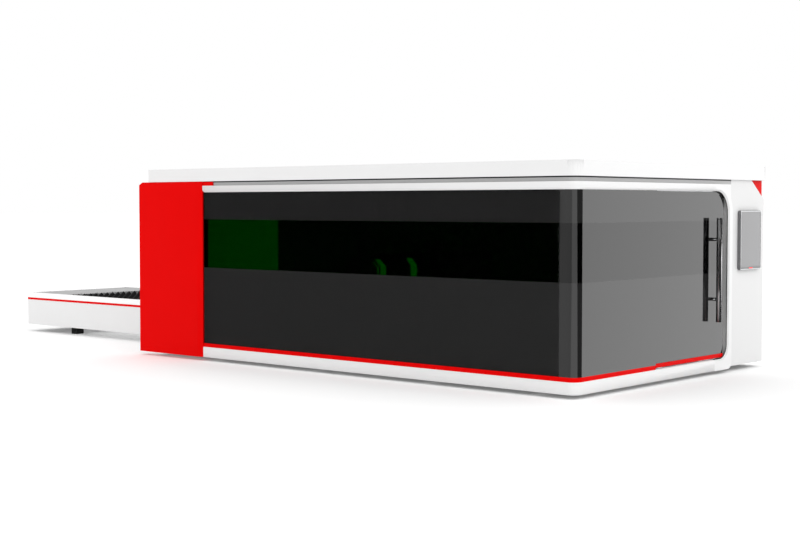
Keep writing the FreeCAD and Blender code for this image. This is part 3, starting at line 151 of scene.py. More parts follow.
class LaserMachineSizes(bpy.types.PropertyGroup):
    """Sizes of the small parts"""
    screw_radius: length("Screw radius", "Radius of a button-head cover screw", 0.0065)
    screw_pitch: length("Screw pitch", "Distance between cover screws along a panel", 0.25)
    louvre_length: length("Louvre length", "Length of one pressed louvre", 0.26)
    louvre_pitch: length("Louvre pitch", "Distance between louvres up a door", 0.03)
    link_pitch: length("Link pitch", "Pitch of the energy chain", 0.045)
    roller_pitch: length("Roller pitch", "Pitch of the pallet drive chains", 0.0508)
    nut_radius: length("Nut radius", "Radius across the corners of a foot's lock nut", 0.024)
    lamp_length: length("Lamp length", "Length of the status lamp under the screen", 0.08)
    gasket_radius: length("Gasket radius", "Half the thickness of the rubber bead around the door", 0.004)


class LaserMachineColours(bpy.types.PropertyGroup):
    """Colours of the finishes"""
    white: colour("White", "White powder coat", (0.825, 0.825, 0.825))
    # Painted highlight: the table's lip is painted whiter than the white coat for the light its upward edge
    # catches
    painted_lip_highlight_white: colour("Lip white", "White gloss paint of the table lip", (0.99, 0.99, 0.99))
    # Painted shade: the neck is painted grey for the shade under the lid, and black along its top for the
    # shadow line there
    painted_neck_shade_grey: colour("Neck grey", "Grey powder coat of the neck", (0.46, 0.46, 0.46))
    painted_lid_shadow_black: colour("Seal black", "Rubber seal along the top of the neck", (0.02, 0.02, 0.02))
    red: colour("Red", "Red gloss paint", (0.76, 0.001, 0.001))
    band_black: colour("Band black", "Black enamel behind the glass", (0.0145, 0.0145, 0.0145))
    filter_green: colour("Filter green", "Laser filter sheet", (0.004, 0.16, 0.004))
    frame_grey: colour("Frame grey", "Grey structure paint", (0.3, 0.31, 0.32))
    cover_grey: colour("Cover grey", "Grey plates of the exchange table", (0.6, 0.6, 0.6))
    # The housing's own grey; on the screen face it also stands partly for a painted reflection of the bright
    # surroundings
    screen_tone_and_painted_sheen: colour("Screen grey", "Screen housing", (0.14, 0.14, 0.145))
    steel: colour("Steel", "Polished steel", (0.72, 0.72, 0.73))
    zinc: colour("Zinc", "Galvanised sheet", (0.52, 0.54, 0.56))
    iron: colour("Iron", "Mill scale on the slats", (0.018, 0.018, 0.019))


def sizes():
    return bpy.context.scene.laser_sizes


def colours():
    return bpy.context.scene.laser_colours


# ---- finishes -----------------------------------------------------------------------------------


class Value:
    """A number in a finish; arithmetic on it adds Math nodes"""

    def __init__(self, finish, socket):
        self.finish = finish
        self.socket = socket

    def _math(self, operation, first, second):
        return self.finish.node("Math", {"operation": operation}, {0: first, 1: second})

    def __add__(self, other):
        return self._math("ADD", self, other)

    def __radd__(self, other):
        return self._math("ADD", other, self)

    def __sub__(self, other):
        return self._math("SUBTRACT", self, other)

    def __rsub__(self, other):
        return self._math("SUBTRACT", other, self)

    def __mul__(self, other):
        return self._math("MULTIPLY", self, other)

    def __rmul__(self, other):
        return self._math("MULTIPLY", other, self)

    def __gt__(self, other):
        return self._math("GREATER_THAN", self, other)

    def __lt__(self, other):
        return self._math("LESS_THAN", self, other)


class Finish:
    """A material in the making: a Principled shader and the nodes that vary it"""

    def __init__(self, name, constants):
        self.material = bpy.data.materials.new(name)
        self.material.use_nodes = True
        self.tree = self.material.node_tree
        self.tree.nodes.clear()
        self.shader = self.tree.nodes.new("ShaderNodeBsdfPrincipled")
        self.output = self.tree.nodes.new("ShaderNodeOutputMaterial")
        self.tree.links.new(self.shader.outputs[0], self.output.inputs["Surface"])
        for socket, value in constants.items():
            self.feed(self.shader.inputs[socket], value)

    def feed(self, socket, value):
        """Link a Value to a socket, or set a plain number or colour on it."""
        if isinstance(value, Value):
            self.tree.links.new(value.socket, socket)
        elif socket.type == "RGBA" and len(value) == 3:
            socket.default_value = (*value, 1)
        else:
            socket.default_value = value

    def node(self, kind, settings=None, values=None, output=0):
        """Any node: its settings, a ramp's stops among them, come first, then its sockets."""
        node = self.tree.nodes.new("ShaderNode" + kind)
        for name, value in (settings or {}).items():
            if name == "stops":
                while len(node.color_ramp.elements) < len(value):
                    node.color_ramp.elements.new(1)
                for element, (position, shade) in zip(node.color_ramp.elements, value):
                    element.position = position
                    element.color = (*shade, 1) if hasattr(shade, "__len__") else (shade, shade, shade, 1)
            else:
                setattr(node, name, value)
        for name, value in (values or {}).items():
            self.feed(node.inputs[name], value)
        return Value(self, node.outputs[output])

    def place(self):
        """Object coordinates, in metres in the machine's frame."""
        return self.node("TexCoord", output="Object")

    def axis(self, name):
        """One Object coordinate, X, Y or Z."""
        return self.node("SeparateXYZ", values={0: self.place()}, output=name)

    def noise(self, scale, detail=2.0, stretch=(1, 1, 1), roughness=0.5):
        """Noise on Object coordinates, stretched by a Mapping node."""
        mapped = self.node("Mapping", values={"Vector": self.place(), "Scale": stretch})
        return self.node("TexNoise", values={
            "Vector": mapped, "Scale": scale, "Detail": detail, "Roughness": roughness}, output="Fac")

    def ramp(self, value, *stops):
        """A colour or grey that follows a value through stops."""
        return self.node("ValToRGB", {"stops": stops}, {"Fac": value}, output="Color")

    def mix(self, share, first, second):
        """A colour between two others."""
        return self.node("Mix", {"data_type": "RGBA"}, {0: share, 6: first, 7: second}, output=2)

    def set(self, socket, value):
        self.feed(self.shader.inputs[socket], value)

    def relief(self, height, distance, strength=1.0):
        """Bump the surface by a height."""
        self.set("Normal", self.node("Bump", values={
            "Height": height, "Distance": distance, "Strength": strength}, output="Normal"))


def shade(tone, factor):
    """A colour made darker or lighter by a factor."""
    return tuple(min(1.0, part * factor) for part in tone)


def powder_coat(name, tone, roughness=0.4, coat=0.04, lip=None, lip_from=0.0):
    """Powder coat: orange-peel skin, faint clouding, and a trace of dust near the floor.

    A lip colour, when given, covers everything above a height; it is painted light: a painted highlight on
    the table's lip, or a painted shadow band on the neck under the lid.
    """
    finish = Finish(name, {"Coat Weight": coat, "Coat Roughness": 0.12, "Specular IOR Level": 0.12})
    cloud = finish.noise(1.7, 3)
    dust = finish.ramp(finish.axis("Z") + finish.noise(9, 2) * 0.05, (0.03, 1.0), (0.16, 0.0))
    fresh = finish.mix(cloud, shade(tone, 0.985), shade(tone, 1.01))
    # The band above a height is painted light: highlight on the table's lip, shadow on the neck
    if lip:
        fresh = finish.mix(finish.axis("Z") > lip_from, fresh, lip)
    finish.set("Base Color", finish.mix(dust * 0.12, fresh, shade(tone, 0.8)))
    finish.set("Roughness", roughness - 0.03 + cloud * 0.06)
    finish.relief(finish.noise(420, 1), 0.00012, 0.35)
    return finish.material


def gloss_paint(name, tone):
    """Sprayed gloss paint over sheet steel, with a soft ripple under the clear coat."""
    finish = Finish(name, {"Coat Weight": 0.01, "Coat Roughness": 0.1, "Specular IOR Level": 0.02})
    ripple = finish.noise(3.5, 2)
    finish.set("Base Color", finish.mix(ripple, shade(tone, 0.97), shade(tone, 1.03)))
    finish.set("Roughness", 0.3 + finish.noise(60, 3) * 0.06)
    finish.relief(finish.noise(260, 1), 0.0001, 0.3)
    return finish.material


def smoked_glass(name, low=None, high=None, enamel=None, clear_alpha=0.62):
    """Smoked safety glass; above and below the window it is backed with printed enamel."""
    finish = Finish(name, {"Base Color": (0.001, 0.001, 0.001), "IOR": 1.5, "Roughness": 0.02})
    smear = finish.noise(2.2, 4, (1, 1, 0.5), 0.6)
    finish.set("Roughness", finish.ramp(smear, (0.45, 0.015), (0.75, 0.05)))
    if enamel is None:
        finish.set("Alpha", clear_alpha)
    else:
        height = finish.axis("Z")
        band = (height < low) + (height > high)
        finish.set("Base Color", finish.mix(band, (0.001, 0.001, 0.001), enamel))
        finish.set("Alpha", band * (1 - clear_alpha) + clear_alpha)
    finish.material.use_transparent_shadow = True
    return finish.material


def filter_sheet(name, tone):
    """Green laser filter sheet: a coloured see-through layer with a weak gloss."""
    finish = Finish(name, {"Base Color": shade(tone, 0.02), "Roughness": 0.2, "Specular IOR Level": 0.1})
    finish.set("Roughness", 0.16 + finish.noise(5, 2) * 0.08)
    clear = finish.node("BsdfTransparent", values={"Color": tone})
    mixed = finish.node("MixShader", values={0: 0.04, 1: clear, 2: Value(finish, finish.shader.outputs[0])})
    finish.tree.links.new(mixed.socket, finish.output.inputs["Surface"])
    return finish.material


def enamel_board(name, tone):
    """Black lining board behind the glass, with a fine stipple."""
    finish = Finish(name, {"Specular IOR Level": 0.0})
    finish.set("Base Color", finish.mix(finish.noise(1.2, 2), shade(tone, 0.97), shade(tone, 1.03)))
    finish.set("Roughness", 0.7 + finish.noise(300, 1) * 0.1)
    finish.relief(finish.noise(500, 1), 0.0001, 0.2)
    return finish.material


def brushed_metal(name, tone, roughness=0.28, grain=(3, 3, 240), scratch=0.1, metallic=1.0):
    """Metal with a fine grain along one direction and slight smudges."""
    finish = Finish(name, {"Metallic": metallic})
    lines = finish.noise(4, 3, grain)
    smudge = finish.noise(6, 3)
    finish.set("Base Color", finish.mix(lines, shade(tone, 0.86), shade(tone, 1.08)))
    finish.set("Roughness", roughness + lines * scratch + smudge * 0.06)
    finish.relief(lines, 0.00008, 0.4)
    return finish.material


def galvanised_sheet(name, tone):
    """Zinc spangle: flat crystals that differ in tone and gloss."""
    finish = Finish(name, {"Metallic": 0.85})
    cell = finish.node("TexVoronoi", values={"Vector": finish.place(), "Scale": 70.0}, output="Color")
    spangle = finish.node("RGBToBW", values={0: cell})
    finish.set("Base Color", finish.mix(spangle, shade(tone, 0.78), shade(tone, 1.12)))
    finish.set("Roughness", 0.34 + spangle * 0.18)
    return finish.material


def structure_paint(name, tone):
    """Matt structure paint, brushed thicker in places and dusty with cutting smoke."""
    finish = Finish(name, {"Specular IOR Level": 0.35})
    smoke = finish.noise(2.4, 4)
    finish.set("Base Color", finish.mix(smoke, shade(tone, 0.82), shade(tone, 1.08)))
    finish.set("Roughness", 0.5 + smoke * 0.15)
    finish.relief(finish.noise(180, 2), 0.0003, 0.35)
    return finish.material


def scorched_iron(name, tone, wear_and_highlight_from):
    """Slat steel: mill scale, heat tint, beads of spatter, and bright tips above some heights, partly worn
    metal and partly a painted highlight for the glint on the tooth edges.
    """
    finish = Finish(name, {"Metallic": 0.35})
    scale = finish.noise(14, 5, (1, 1, 1), 0.65)
    beads = finish.node("TexVoronoi", values={"Vector": finish.place(), "Scale": 160.0}, output="Distance")
    heat = finish.ramp(scale, (0.35, shade(tone, 0.7)), (0.55, tone), (0.72, (0.045, 0.03, 0.022)))
    height = finish.axis("Z")
    low, high = wear_and_highlight_from
    # Bright tips: worn metal, and a painted highlight for the glint on the tooth edges
    tips = (height > high) + (height > low) * (height < low + TIP_BAND)
    finish.set("Base Color", finish.mix(tips * 0.6, heat, (0.12, 0.12, 0.125)))
    finish.set("Roughness", 0.5 + scale * 0.3)
    finish.relief(scale - beads * 0.6, 0.0008, 0.6)
    return finish.material


def moulded_plastic(name, tone, roughness=0.45, coat=0.0):
    """Moulded plastic with a fine spark texture."""
    finish = Finish(name, {"Coat Weight": coat, "Coat Roughness": 0.1})
    spark = finish.noise(700, 1)
    finish.set("Base Color", finish.mix(finish.noise(3, 2), shade(tone, 0.95), shade(tone, 1.05)))
    finish.set("Roughness", roughness + spark * 0.08)
    finish.relief(spark, 0.0001, 0.3)
    return finish.material


def rubber(name, tone=(0.013, 0.013, 0.013)):
    """Black rubber, dusty and matt."""
    finish = Finish(name, {"Specular IOR Level": 0.25})
    dust = finish.noise(12, 4)
    finish.set("Base Color", finish.mix(dust, tone, shade(tone, 1.9)))
    finish.set("Roughness", 0.66 + dust * 0.2)
    finish.relief(finish.noise(240, 2), 0.0003, 0.4)
    return finish.material


def lit_lens(name, tone, strength):
    """A lamp lens that glows a little, brighter towards its middle cells; the guide strips, which are no
    lamps, use it as painted glow.
    """
    finish = Finish(name, {"Roughness": 0.2, "Coat Weight": 0.5, "Emission Strength": strength})
    cells = finish.noise(300, 1)
    finish.set("Base Color", finish.mix(cells, shade(tone, 0.8), tone))
    finish.set("Emission Color", finish.mix(cells, shade(tone, 0.8), tone))
    return finish.material


def make_finishes():
    """Every finish of the machine, by its name."""
    tone = colours()
    window_low, window_high = window_heights()
    wear_and_highlight_from = [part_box(slats)[1].z - TIP_HEIGHT for slats in ("lower_slats", "upper_slats")]
    strip_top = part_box("table_strips")[1].z
    # Bottom of the black band painted on the neck as the shadow line under the lid
    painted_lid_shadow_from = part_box("lid")[0].z - LID_SHADOW_BAND
    return {
        "white_paint": powder_coat("white_powder_coat", tone.white),
        # Painted shade: the bay cover is the white coat made 10% darker, standing for the shade it has beside
        # the brighter end frame
        "painted_shade_bay_finish": powder_coat("bay_cover_coat_painted_shade", shade(tone.white, 0.9)),
        # Painted highlight along the top of the table covers, above the red strips
        "painted_highlight_lip_finish": powder_coat("lip_coat_painted_highlight", tone.white, lip=tone.painted_lip_highlight_white[:],
                                 lip_from=strip_top),
        # Painted shade on the neck: grey for the shade under the lid, black at its top for the shadow line
        "painted_shade_neck_finish": powder_coat("neck_coat_painted_shade", tone.painted_neck_shade_grey, lip=tone.painted_lid_shadow_black[:],
                                  lip_from=painted_lid_shadow_from),
        "red_paint": gloss_paint("red_gloss_paint", tone.red),
        "tinted_glass": smoked_glass("smoked_glass", clear_alpha=0.3),
        "banded_glass": smoked_glass("banded_glass", window_low, window_high, tone.band_black, 0.95),
        "green_filter": filter_sheet("green_filter_sheet", tone.filter_green),
        "black_panel": enamel_board("black_lining_board", (0.062, 0.062, 0.062)),
        "grey_plastic": moulded_plastic("screen_housing_plastic", tone.screen_tone_and_painted_sheen, 0.35, 0.3),
        # The face's grey colour is partly a painted reflection of the bright surroundings
        "screen_glass": moulded_plastic("painted_sheen_screen_front", tone.screen_tone_and_painted_sheen, 0.18, 0.4),
        "aluminium": brushed_metal("brushed_aluminium", (0.7, 0.71, 0.72), 0.34),
        "polished_steel": brushed_metal("polished_steel", tone.steel, 0.07, (40, 40, 3), 0.02, 0.95),
        "galvanised_steel": galvanised_sheet("galvanised_sheet", tone.zinc),
        "black_rubber": rubber("black_rubber"),
        "grey_paint": structure_paint("grey_structure_paint", tone.frame_grey),
        "cover_paint": structure_paint("cover_plate_paint", tone.cover_grey),
        "bare_steel": brushed_metal("bare_steel", (0.5, 0.5, 0.51), 0.36, (30, 30, 30)),
        "black_iron": scorched_iron("scorched_slat_iron", tone.iron, wear_and_highlight_from),
        "black_plastic": moulded_plastic("black_nylon", (0.018, 0.018, 0.02), 0.5),
        "head_alloy": brushed_metal("anodised_head_alloy", (0.32, 0.33, 0.35), 0.3, (3, 3, 60)),
        "copper": brushed_metal("nozzle_copper", (0.72, 0.33, 0.17), 0.25, (60, 60, 60)),
        "lamp_red": lit_lens("red_lamp_lens", (0.9, 0.02, 0.02), 0.6),
        "lamp_white": lit_lens("work_lamp_lens", (1.0, 1.0, 1.0), 0.9),
        # The guide strips are bent brackets, not lamps; their glow is painted light
        "painted_glow_strip_finish": lit_lens("guide_strip_painted_glow", (1.0, 1.0, 1.0), 2.0),
    }


def window_heights():
    """Height of the lower and the upper edge of the window, from the two lining boards."""
    boards = sorted((low.z, high.z) for mesh, low, high in islands("liners"))
    return boards[0][1], boards[-1][0]


NODE_FINISH = {
    "white_paint": ("sill", "header", "base_ring", "end_upright", "lid", "far_wall", "left_wall",
                    "service_door", "electrical_door"),
    # The bay cover's darker white is painted shade
    "painted_shade_bay_finish": ("side_panel",),
    # The table covers' whiter top is a painted highlight
    "painted_highlight_lip_finish": ("table_covers",),
    # The neck's grey and its black top band are painted shade
    "painted_shade_neck_finish": ("neck",),
    "red_paint": ("red_panel", "side_strip", "corner_wedge", "table_strips"),
    "tinted_glass": ("side_glass",),
    "banded_glass": ("corner_glass", "door_glass"),
    "green_filter": ("laser_window",),
    "black_panel": ("liners",),
    "grey_plastic": ("monitor_shell",),
    "screen_glass": ("monitor_glass",),
    "aluminium": ("door_channels", "door_rails", "gantry_beam", "gantry_feet", "carriage"),
    "polished_steel": ("handle",),
    "galvanised_steel": ("lid_ribs", "outlet_collar", "slag_trays", "dust_duct", "control_bay"),
    "black_rubber": ("doorway_curtain", "feet"),
    "grey_paint": ("table_frame", "pallet_rails", "bed", "pallet_drive", "upper_pallet", "lower_pallet"),
    "cover_paint": ("table_cover",),
    "bare_steel": ("service_hinges", "x_rails_and_racks", "pallet_chains", "x_pinion_near", "x_pinion_far",
                   "y_pinion", "drive_shaft", "idler_shaft", "upper_axle_inner", "upper_axle_outer",
                   "lower_axle_inner", "lower_axle_outer"),
    "black_iron": ("upper_slats", "lower_slats"),
    "black_plastic": ("energy_chain", "gantry_drives"),
    "head_alloy": ("cutting_head",),
}
FINISHES = {}


# ---- making pieces ------------------------------------------------------------------------------


def tidy(mesh):
    """Merge doubles, turn every face outwards and smooth the shallow edges."""
    shape = bmesh.new()
    shape.from_mesh(mesh)
    bmesh.ops.remove_doubles(shape, verts=shape.verts, dist=1e-6)
    bmesh.ops.recalc_face_normals(shape, faces=shape.faces)
    shape.to_mesh(mesh)
    shape.free()
    mesh.shade_smooth()
    mesh.set_sharp_from_angle(angle=SMOOTH_ANGLE)
    return mesh


def piece(name, mesh, body, finish):
    """An object at the origin that rides a body, with one finish."""
    mesh.name = name
    mesh.materials.clear()
    mesh.materials.append(FINISHES[finish])
    made = bpy.data.objects.new(name, mesh)
    bpy.context.scene.collection.objects.link(made)
    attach(made, body)
    return made


def lathe(profile, steps=24):
    """Turned part about the Z axis from (radius, height) points, closed at both ends."""
    mesh = bpy.data.meshes.new("turned")
    shape = bmesh.new()
    rings = []
    for radius, height in profile:
        ring = []
        for step in range(steps):
            angle = 2 * math.pi * step / steps
            ring.append(shape.verts.new((radius * math.cos(angle), radius * math.sin(angle), height)))
        rings.append(ring)
    for lower, upper in zip(rings, rings[1:]):
        for step in range(steps):
            after = (step + 1) % steps
            shape.faces.new((lower[step], lower[after], upper[after], upper[step]))
    shape.faces.new(list(reversed(rings[0])))
    shape.faces.new(rings[-1])
    shape.to_mesh(mesh)
    shape.free()
    return tidy(mesh)


def bar(low, high, bevel=0.0, segments=2):
    """Box between two corners with rounded edges."""
    mesh = bpy.data.meshes.new("bar")
    shape = bmesh.new()
    middle = (Vector(low) + Vector(high)) / 2
    size = Vector(high) - Vector(low)
    bmesh.ops.create_cube(shape, size=1, matrix=Matrix.Translation(middle) @ Matrix.Diagonal((*size, 1)))
    if bevel:
        bmesh.ops.bevel(shape, geom=shape.edges[:], offset=bevel, segments=segments, affect="EDGES",
                        profile=0.5)
    shape.to_mesh(mesh)
    shape.free()
    return tidy(mesh)


def tube(points, radius, closed=False, resolution=4, corner=0.0):
    """Round tube through points; corner rounds each turn by that length."""
    route = rounded_route(points, corner) if corner else [Vector(point) for point in points]
    curve = bpy.data.curves.new("tube", "CURVE")
    curve.dimensions = "3D"
    curve.bevel_depth = radius
    curve.bevel_resolution = resolution
    curve.use_fill_caps = True
    spline = curve.splines.new("POLY")
    spline.points.add(len(route) - 1)
    for target, point in zip(spline.points, route):
        target.co = (*point, 1)
    spline.use_cyclic_u = closed
    holder = bpy.data.objects.new("tube", curve)
    bpy.context.scene.collection.objects.link(holder)
    mesh = plain_mesh(holder)
    bpy.data.objects.remove(holder)
    return tidy(mesh)


def rounded_route(points, corner, steps=6):
    """Points with each inner corner replaced by a quadratic bend."""
    route = [Vector(points[0])]
    for before, here, after in zip(points, points[1:], points[2:]):
        here = Vector(here)
        start = here + (Vector(before) - here).normalized() * corner
        end = here + (Vector(after) - here).normalized() * corner
        for step in range(steps + 1):
            share = step / steps
            route.append(start.lerp(here, share).lerp(here.lerp(end, share), share))
    route.append(Vector(points[-1]))
    return route


def plain_mesh(holder):
    """The evaluated shape of an object as a plain mesh."""
    bpy.context.view_layer.update()
    evaluated = holder.evaluated_get(bpy.context.evaluated_depsgraph_get())
    return bpy.data.meshes.new_from_object(evaluated)


def sheet_of(outline, back, front):
    """Flat sheet of an outline of (y, z) points, between two places along X."""
    mesh = bpy.data.meshes.new("sheet")
    shape = bmesh.new()
    rings = [[shape.verts.new((x, y, z)) for y, z in outline] for x in (back, front)]
    for step in range(len(outline)):
        after = (step + 1) % len(outline)
        shape.faces.new((rings[0][step], rings[0][after], rings[1][after], rings[1][step]))
    for ring in rings:
        shape.faces.new(ring)
    shape.to_mesh(mesh)
    shape.free()
    return tidy(mesh)


def rectangle_frame(low, high, border, bevel):
    """Rectangular frame facing +X between two corners, its four borders equally wide."""
    mesh = bpy.data.meshes.new("frame")
    shape = bmesh.new()
    corners = ((0, 0), (1, 0), (1, 1), (0, 1))
    rings = []
    for x in (low[0], high[0]):
        for inset in (0.0, border):
            y_low, y_high = low[1] + inset, high[1] - inset
            z_low, z_high = low[2] + inset, high[2] - inset
            rings.append([shape.verts.new((x, (y_low, y_high)[right], (z_low, z_high)[up]))
                          for right, up in corners])
    back_out, back_in, front_out, front_in = rings
    for first, second in ((back_out, back_in), (back_in, front_in), (front_in, front_out),
                          (front_out, back_out)):
        for step in range(4):
            after = (step + 1) % 4
            shape.faces.new((first[step], first[after], second[after], second[step]))
    bmesh.ops.bevel(shape, geom=shape.edges[:], offset=bevel, segments=2, affect="EDGES", profile=0.5)
    shape.to_mesh(mesh)
    shape.free()
    return tidy(mesh)


def arc(x, inner, level, turn, radius, steps=10):
    """Points of a rounded corner of the door opening, from its level edge to its upright one."""
    points = []
    for step in range(steps + 1):
        angle = math.radians(90 * step / steps)
        points.append((x, inner - radius + radius * math.sin(angle),
                       level + turn * (radius - radius * math.cos(angle))))
    return points


def leaning(x, wide, low, lean, high):
    """The bent upper end of a guide strip."""
    mesh = bar((x, STRIP_LINE[0], low - 0.002), (x + wide, STRIP_LINE[1], high), 0.001)
    for vertex in mesh.vertices:
        vertex.co.x += lean * (vertex.co.z - low) / (high - low)
    return mesh


def joined(meshes):
    """Several meshes as one."""
    mesh = bpy.data.meshes.new("joined")
    shape = bmesh.new()
    for part in meshes:
        shape.from_mesh(part)
    shape.to_mesh(mesh)
    shape.free()
    mesh.shade_smooth()
    mesh.set_sharp_from_angle(angle=SMOOTH_ANGLE)
    return mesh


def moved(mesh, offset, turn=(0, 0, 0)):
    """A mesh turned about the origin and then moved."""
    mesh.transform(Matrix.Translation(offset) @ Euler(turn).to_matrix().to_4x4())
    return mesh


def copied_node(name, node, finish):
    """A merged, smoothly shaded copy of a CAD node that stands for it."""
    mesh = tidy(frame["nodes"][node].data.copy())
    made = piece(name, mesh, frame["nodes"][node]["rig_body"], finish)
    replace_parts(made, node)
    return made


def islands(node):
    """The separate solids of a CAD node, each as (mesh, low corner, high corner)."""
    shape = bmesh.new()
    shape.from_mesh(frame["nodes"][node].data)
    bmesh.ops.remove_doubles(shape, verts=shape.verts, dist=1e-6)
    left = set(shape.verts)
    found = []
    while left:
        group = {left.pop()}
        waiting = list(group)
        while waiting:
            vertex = waiting.pop()
            for edge in vertex.link_edges:
                other = edge.other_vert(vertex)
                if other in left:
                    left.discard(other)
                    group.add(other)
                    waiting.append(other)
        found.append(group)
    solids = []
    for group in found:
        part = bmesh.new()
        made = {vertex: part.verts.new(vertex.co) for vertex in group}
        faces = {face for vertex in group for face in vertex.link_faces}
        for face in sorted(faces, key=lambda each: each.index):
            part.faces.new([made[vertex] for vertex in face.verts])
        mesh = bpy.data.meshes.new(node)
        part.to_mesh(mesh)
        part.free()
        places = [vertex.co for vertex in group]
        low = Vector([min(place[axis] for place in places) for axis in range(3)])
        high = Vector([max(place[axis] for place in places) for axis in range(3)])
        solids.append((tidy(mesh), low, high))
    shape.free()
    return sorted(solids, key=lambda solid: tuple(solid[1]))


# ---- rows of like parts ---------------------------------------------------------------------------


def new_tree(name, inputs):
    """A geometry tree with named inputs and one geometry output."""
    tree = bpy.data.node_groups.new(name, "GeometryNodeTree")
    tree.interface.new_socket("Geometry", in_out="INPUT", socket_type="NodeSocketGeometry")
    for title, kind in inputs:
        tree.interface.new_socket(title, in_out="INPUT", socket_type="NodeSocket" + kind)
    tree.interface.new_socket("Geometry", in_out="OUTPUT", socket_type="NodeSocketGeometry")
    return tree


def row_tree():
    """Copies of a unit along a straight line, added to the geometry that comes in."""
    tree = new_tree("row_of_units", (
        ("Unit", "Object"), ("Count", "Int"), ("Start", "Vector"), ("Step", "Vector"), ("Turn", "Vector"),
        ("Finish", "Material")))
    nodes, link = tree.nodes, tree.links.new
    given = nodes.new("NodeGroupInput")
    line = nodes.new("GeometryNodeMeshLine")
    unit = nodes.new("GeometryNodeObjectInfo")
    copies = nodes.new("GeometryNodeInstanceOnPoints")
    real = nodes.new("GeometryNodeRealizeInstances")
    both = nodes.new("GeometryNodeJoinGeometry")
    paint = nodes.new("GeometryNodeSetMaterial")
    result = nodes.new("NodeGroupOutput")
    line.mode = "OFFSET"
    link(given.outputs["Count"], line.inputs["Count"])
    link(given.outputs["Start"], line.inputs["Start Location"])
    link(given.outputs["Step"], line.inputs["Offset"])
    link(given.outputs["Unit"], unit.inputs["Object"])
    link(line.outputs["Mesh"], copies.inputs["Points"])
    link(unit.outputs["Geometry"], copies.inputs["Instance"])
    link(given.outputs["Turn"], copies.inputs["Rotation"])
    link(copies.outputs["Instances"], real.inputs["Geometry"])
    link(real.outputs["Geometry"], both.inputs["Geometry"])
    link(given.outputs["Geometry"], both.inputs["Geometry"])
    link(both.outputs["Geometry"], paint.inputs["Geometry"])
    link(given.outputs["Finish"], paint.inputs["Material"])
    link(paint.outputs["Geometry"], result.inputs["Geometry"])
    return tree


def repeated(name, unit_mesh, tree, rows, body, finish):
    """One piece from rows of a unit; each row is a dict of the tree's inputs."""
    scene = bpy.context.scene
    unit = bpy.data.objects.new(name + "_unit", unit_mesh)
    holder = bpy.data.objects.new(name + "_rows", bpy.data.meshes.new(name))
    scene.collection.objects.link(unit)
    scene.collection.objects.link(holder)
    sockets = {item.name: item.identifier for item in tree.interface.items_tree if item.in_out == "INPUT"}
    for row in rows:
        modifier = holder.modifiers.new("row", "NODES")
        modifier.node_group = tree
        for title, value in dict(row, Unit=unit, Finish=FINISHES[finish]).items():
            modifier[sockets[title]] = value
    mesh = plain_mesh(holder)
    bpy.data.objects.remove(holder)
    bpy.data.objects.remove(unit)
    mesh.set_sharp_from_angle(angle=SMOOTH_ANGLE)
    return piece(name, mesh, body, finish)


def row(start, end, pitch, turn=(0, 0, 0)):
    """Inputs for a row of units between two points at about a pitch."""
    start, end = Vector(start), Vector(end)
    count = max(2, round((end - start).length / pitch) + 1)
    return {"Count": count, "Start": start, "Step": (end - start) / (count - 1), "Turn": Vector(turn)}


# ---- units ----------------------------------------------------------------------------------------


def button_screw(radius):
    """Button-head screw with a hexagon socket, standing on z = 0."""
    head = [(radius, 0), (radius, 0.25 * radius), (0.86 * radius, 0.5 * radius),
            (0.55 * radius, 0.62 * radius), (0.4 * radius, 0.62 * radius), (0.36 * radius, 0.3 * radius),
            (0.02 * radius, 0.28 * radius)]
    return lathe(head, 12)


def hexagon_nut(radius, height):
    """Hexagon nut with chamfered corners and a short stud end, standing on z = 0."""
    flat = radius * 0.93
    nut = lathe([(flat, 0), (radius, height * 0.12), (radius, height * 0.88), (flat, height)], 6)
    half = radius / 2
    stud = lathe([(half, height * 0.9), (half, height * 1.3), (half * 0.84, height * 1.42)], 12)
    return joined([nut, stud])


def louvre(size, rise):
    """Pressed louvre: a half-round hood, open below, along X, standing out along +Y."""
    mesh = bpy.data.meshes.new("louvre")
    shape = bmesh.new()
    steps = 6
    rows = []
    for end_share, end_x in ((0.0, -0.5), (0.8, -0.44), (1.0, -0.38), (1.0, 0.38), (0.8, 0.44), (0.0, 0.5)):
        line = []
        for step in range(steps + 1):
            angle = math.radians(90 * step / steps)
            out = rise * end_share * math.cos(angle)
            line.append(shape.verts.new((end_x * size, out, 1.6 * rise * math.sin(angle))))
        line.append(shape.verts.new((end_x * size, 0.0, 0.0)))
        rows.append(line)
    for first, second in zip(rows, rows[1:]):
        for step in range(len(first)):
            after = (step + 1) % len(first)
            shape.faces.new((first[step], first[after], second[after], second[step]))
    shape.faces.new(rows[0])
    shape.faces.new(list(reversed(rows[-1])))
    shape.to_mesh(mesh)
    shape.free()
    return tidy(mesh)


# ---- operators ------------------------------------------------------------------------------------


class LASER_OT_finishes(bpy.types.Operator):
    """Give every carried node of the machine its finish"""
    bl_idname = "laser.finishes"
    bl_label = "Finish the machine"

    def execute(self, context):
        FINISHES.update(make_finishes())
        for finish, nodes in NODE_FINISH.items():
            for name in nodes:
                mesh = frame["nodes"][name].data
                mesh.materials.clear()
                mesh.materials.append(FINISHES[finish])
        return {"FINISHED"}


class LASER_OT_glazing(bpy.types.Operator):
    """Smooth copies of the bent glass and the gloss panels"""
    bl_idname = "laser.glazing"
    bl_label = "Glazing"

    def execute(self, context):
        for name, node, finish in (
                ("bent_corner_glass", "corner_glass", "banded_glass"),
                ("pull_handle", "handle", "polished_steel"),
                ("gloss_red_panel", "red_panel", "red_paint"),
                ("white_sill", "sill", "white_paint"),
                ("white_header", "header", "white_paint"),
                ("side_trim_strip", "side_strip", "red_paint"),
                ("white_lid", "lid", "white_paint"),
                # The neck's copy carries its painted shade
                ("grey_neck", "neck", "painted_shade_neck_finish")):
            copied_node(name, node, finish)
        return {"FINISHED"}


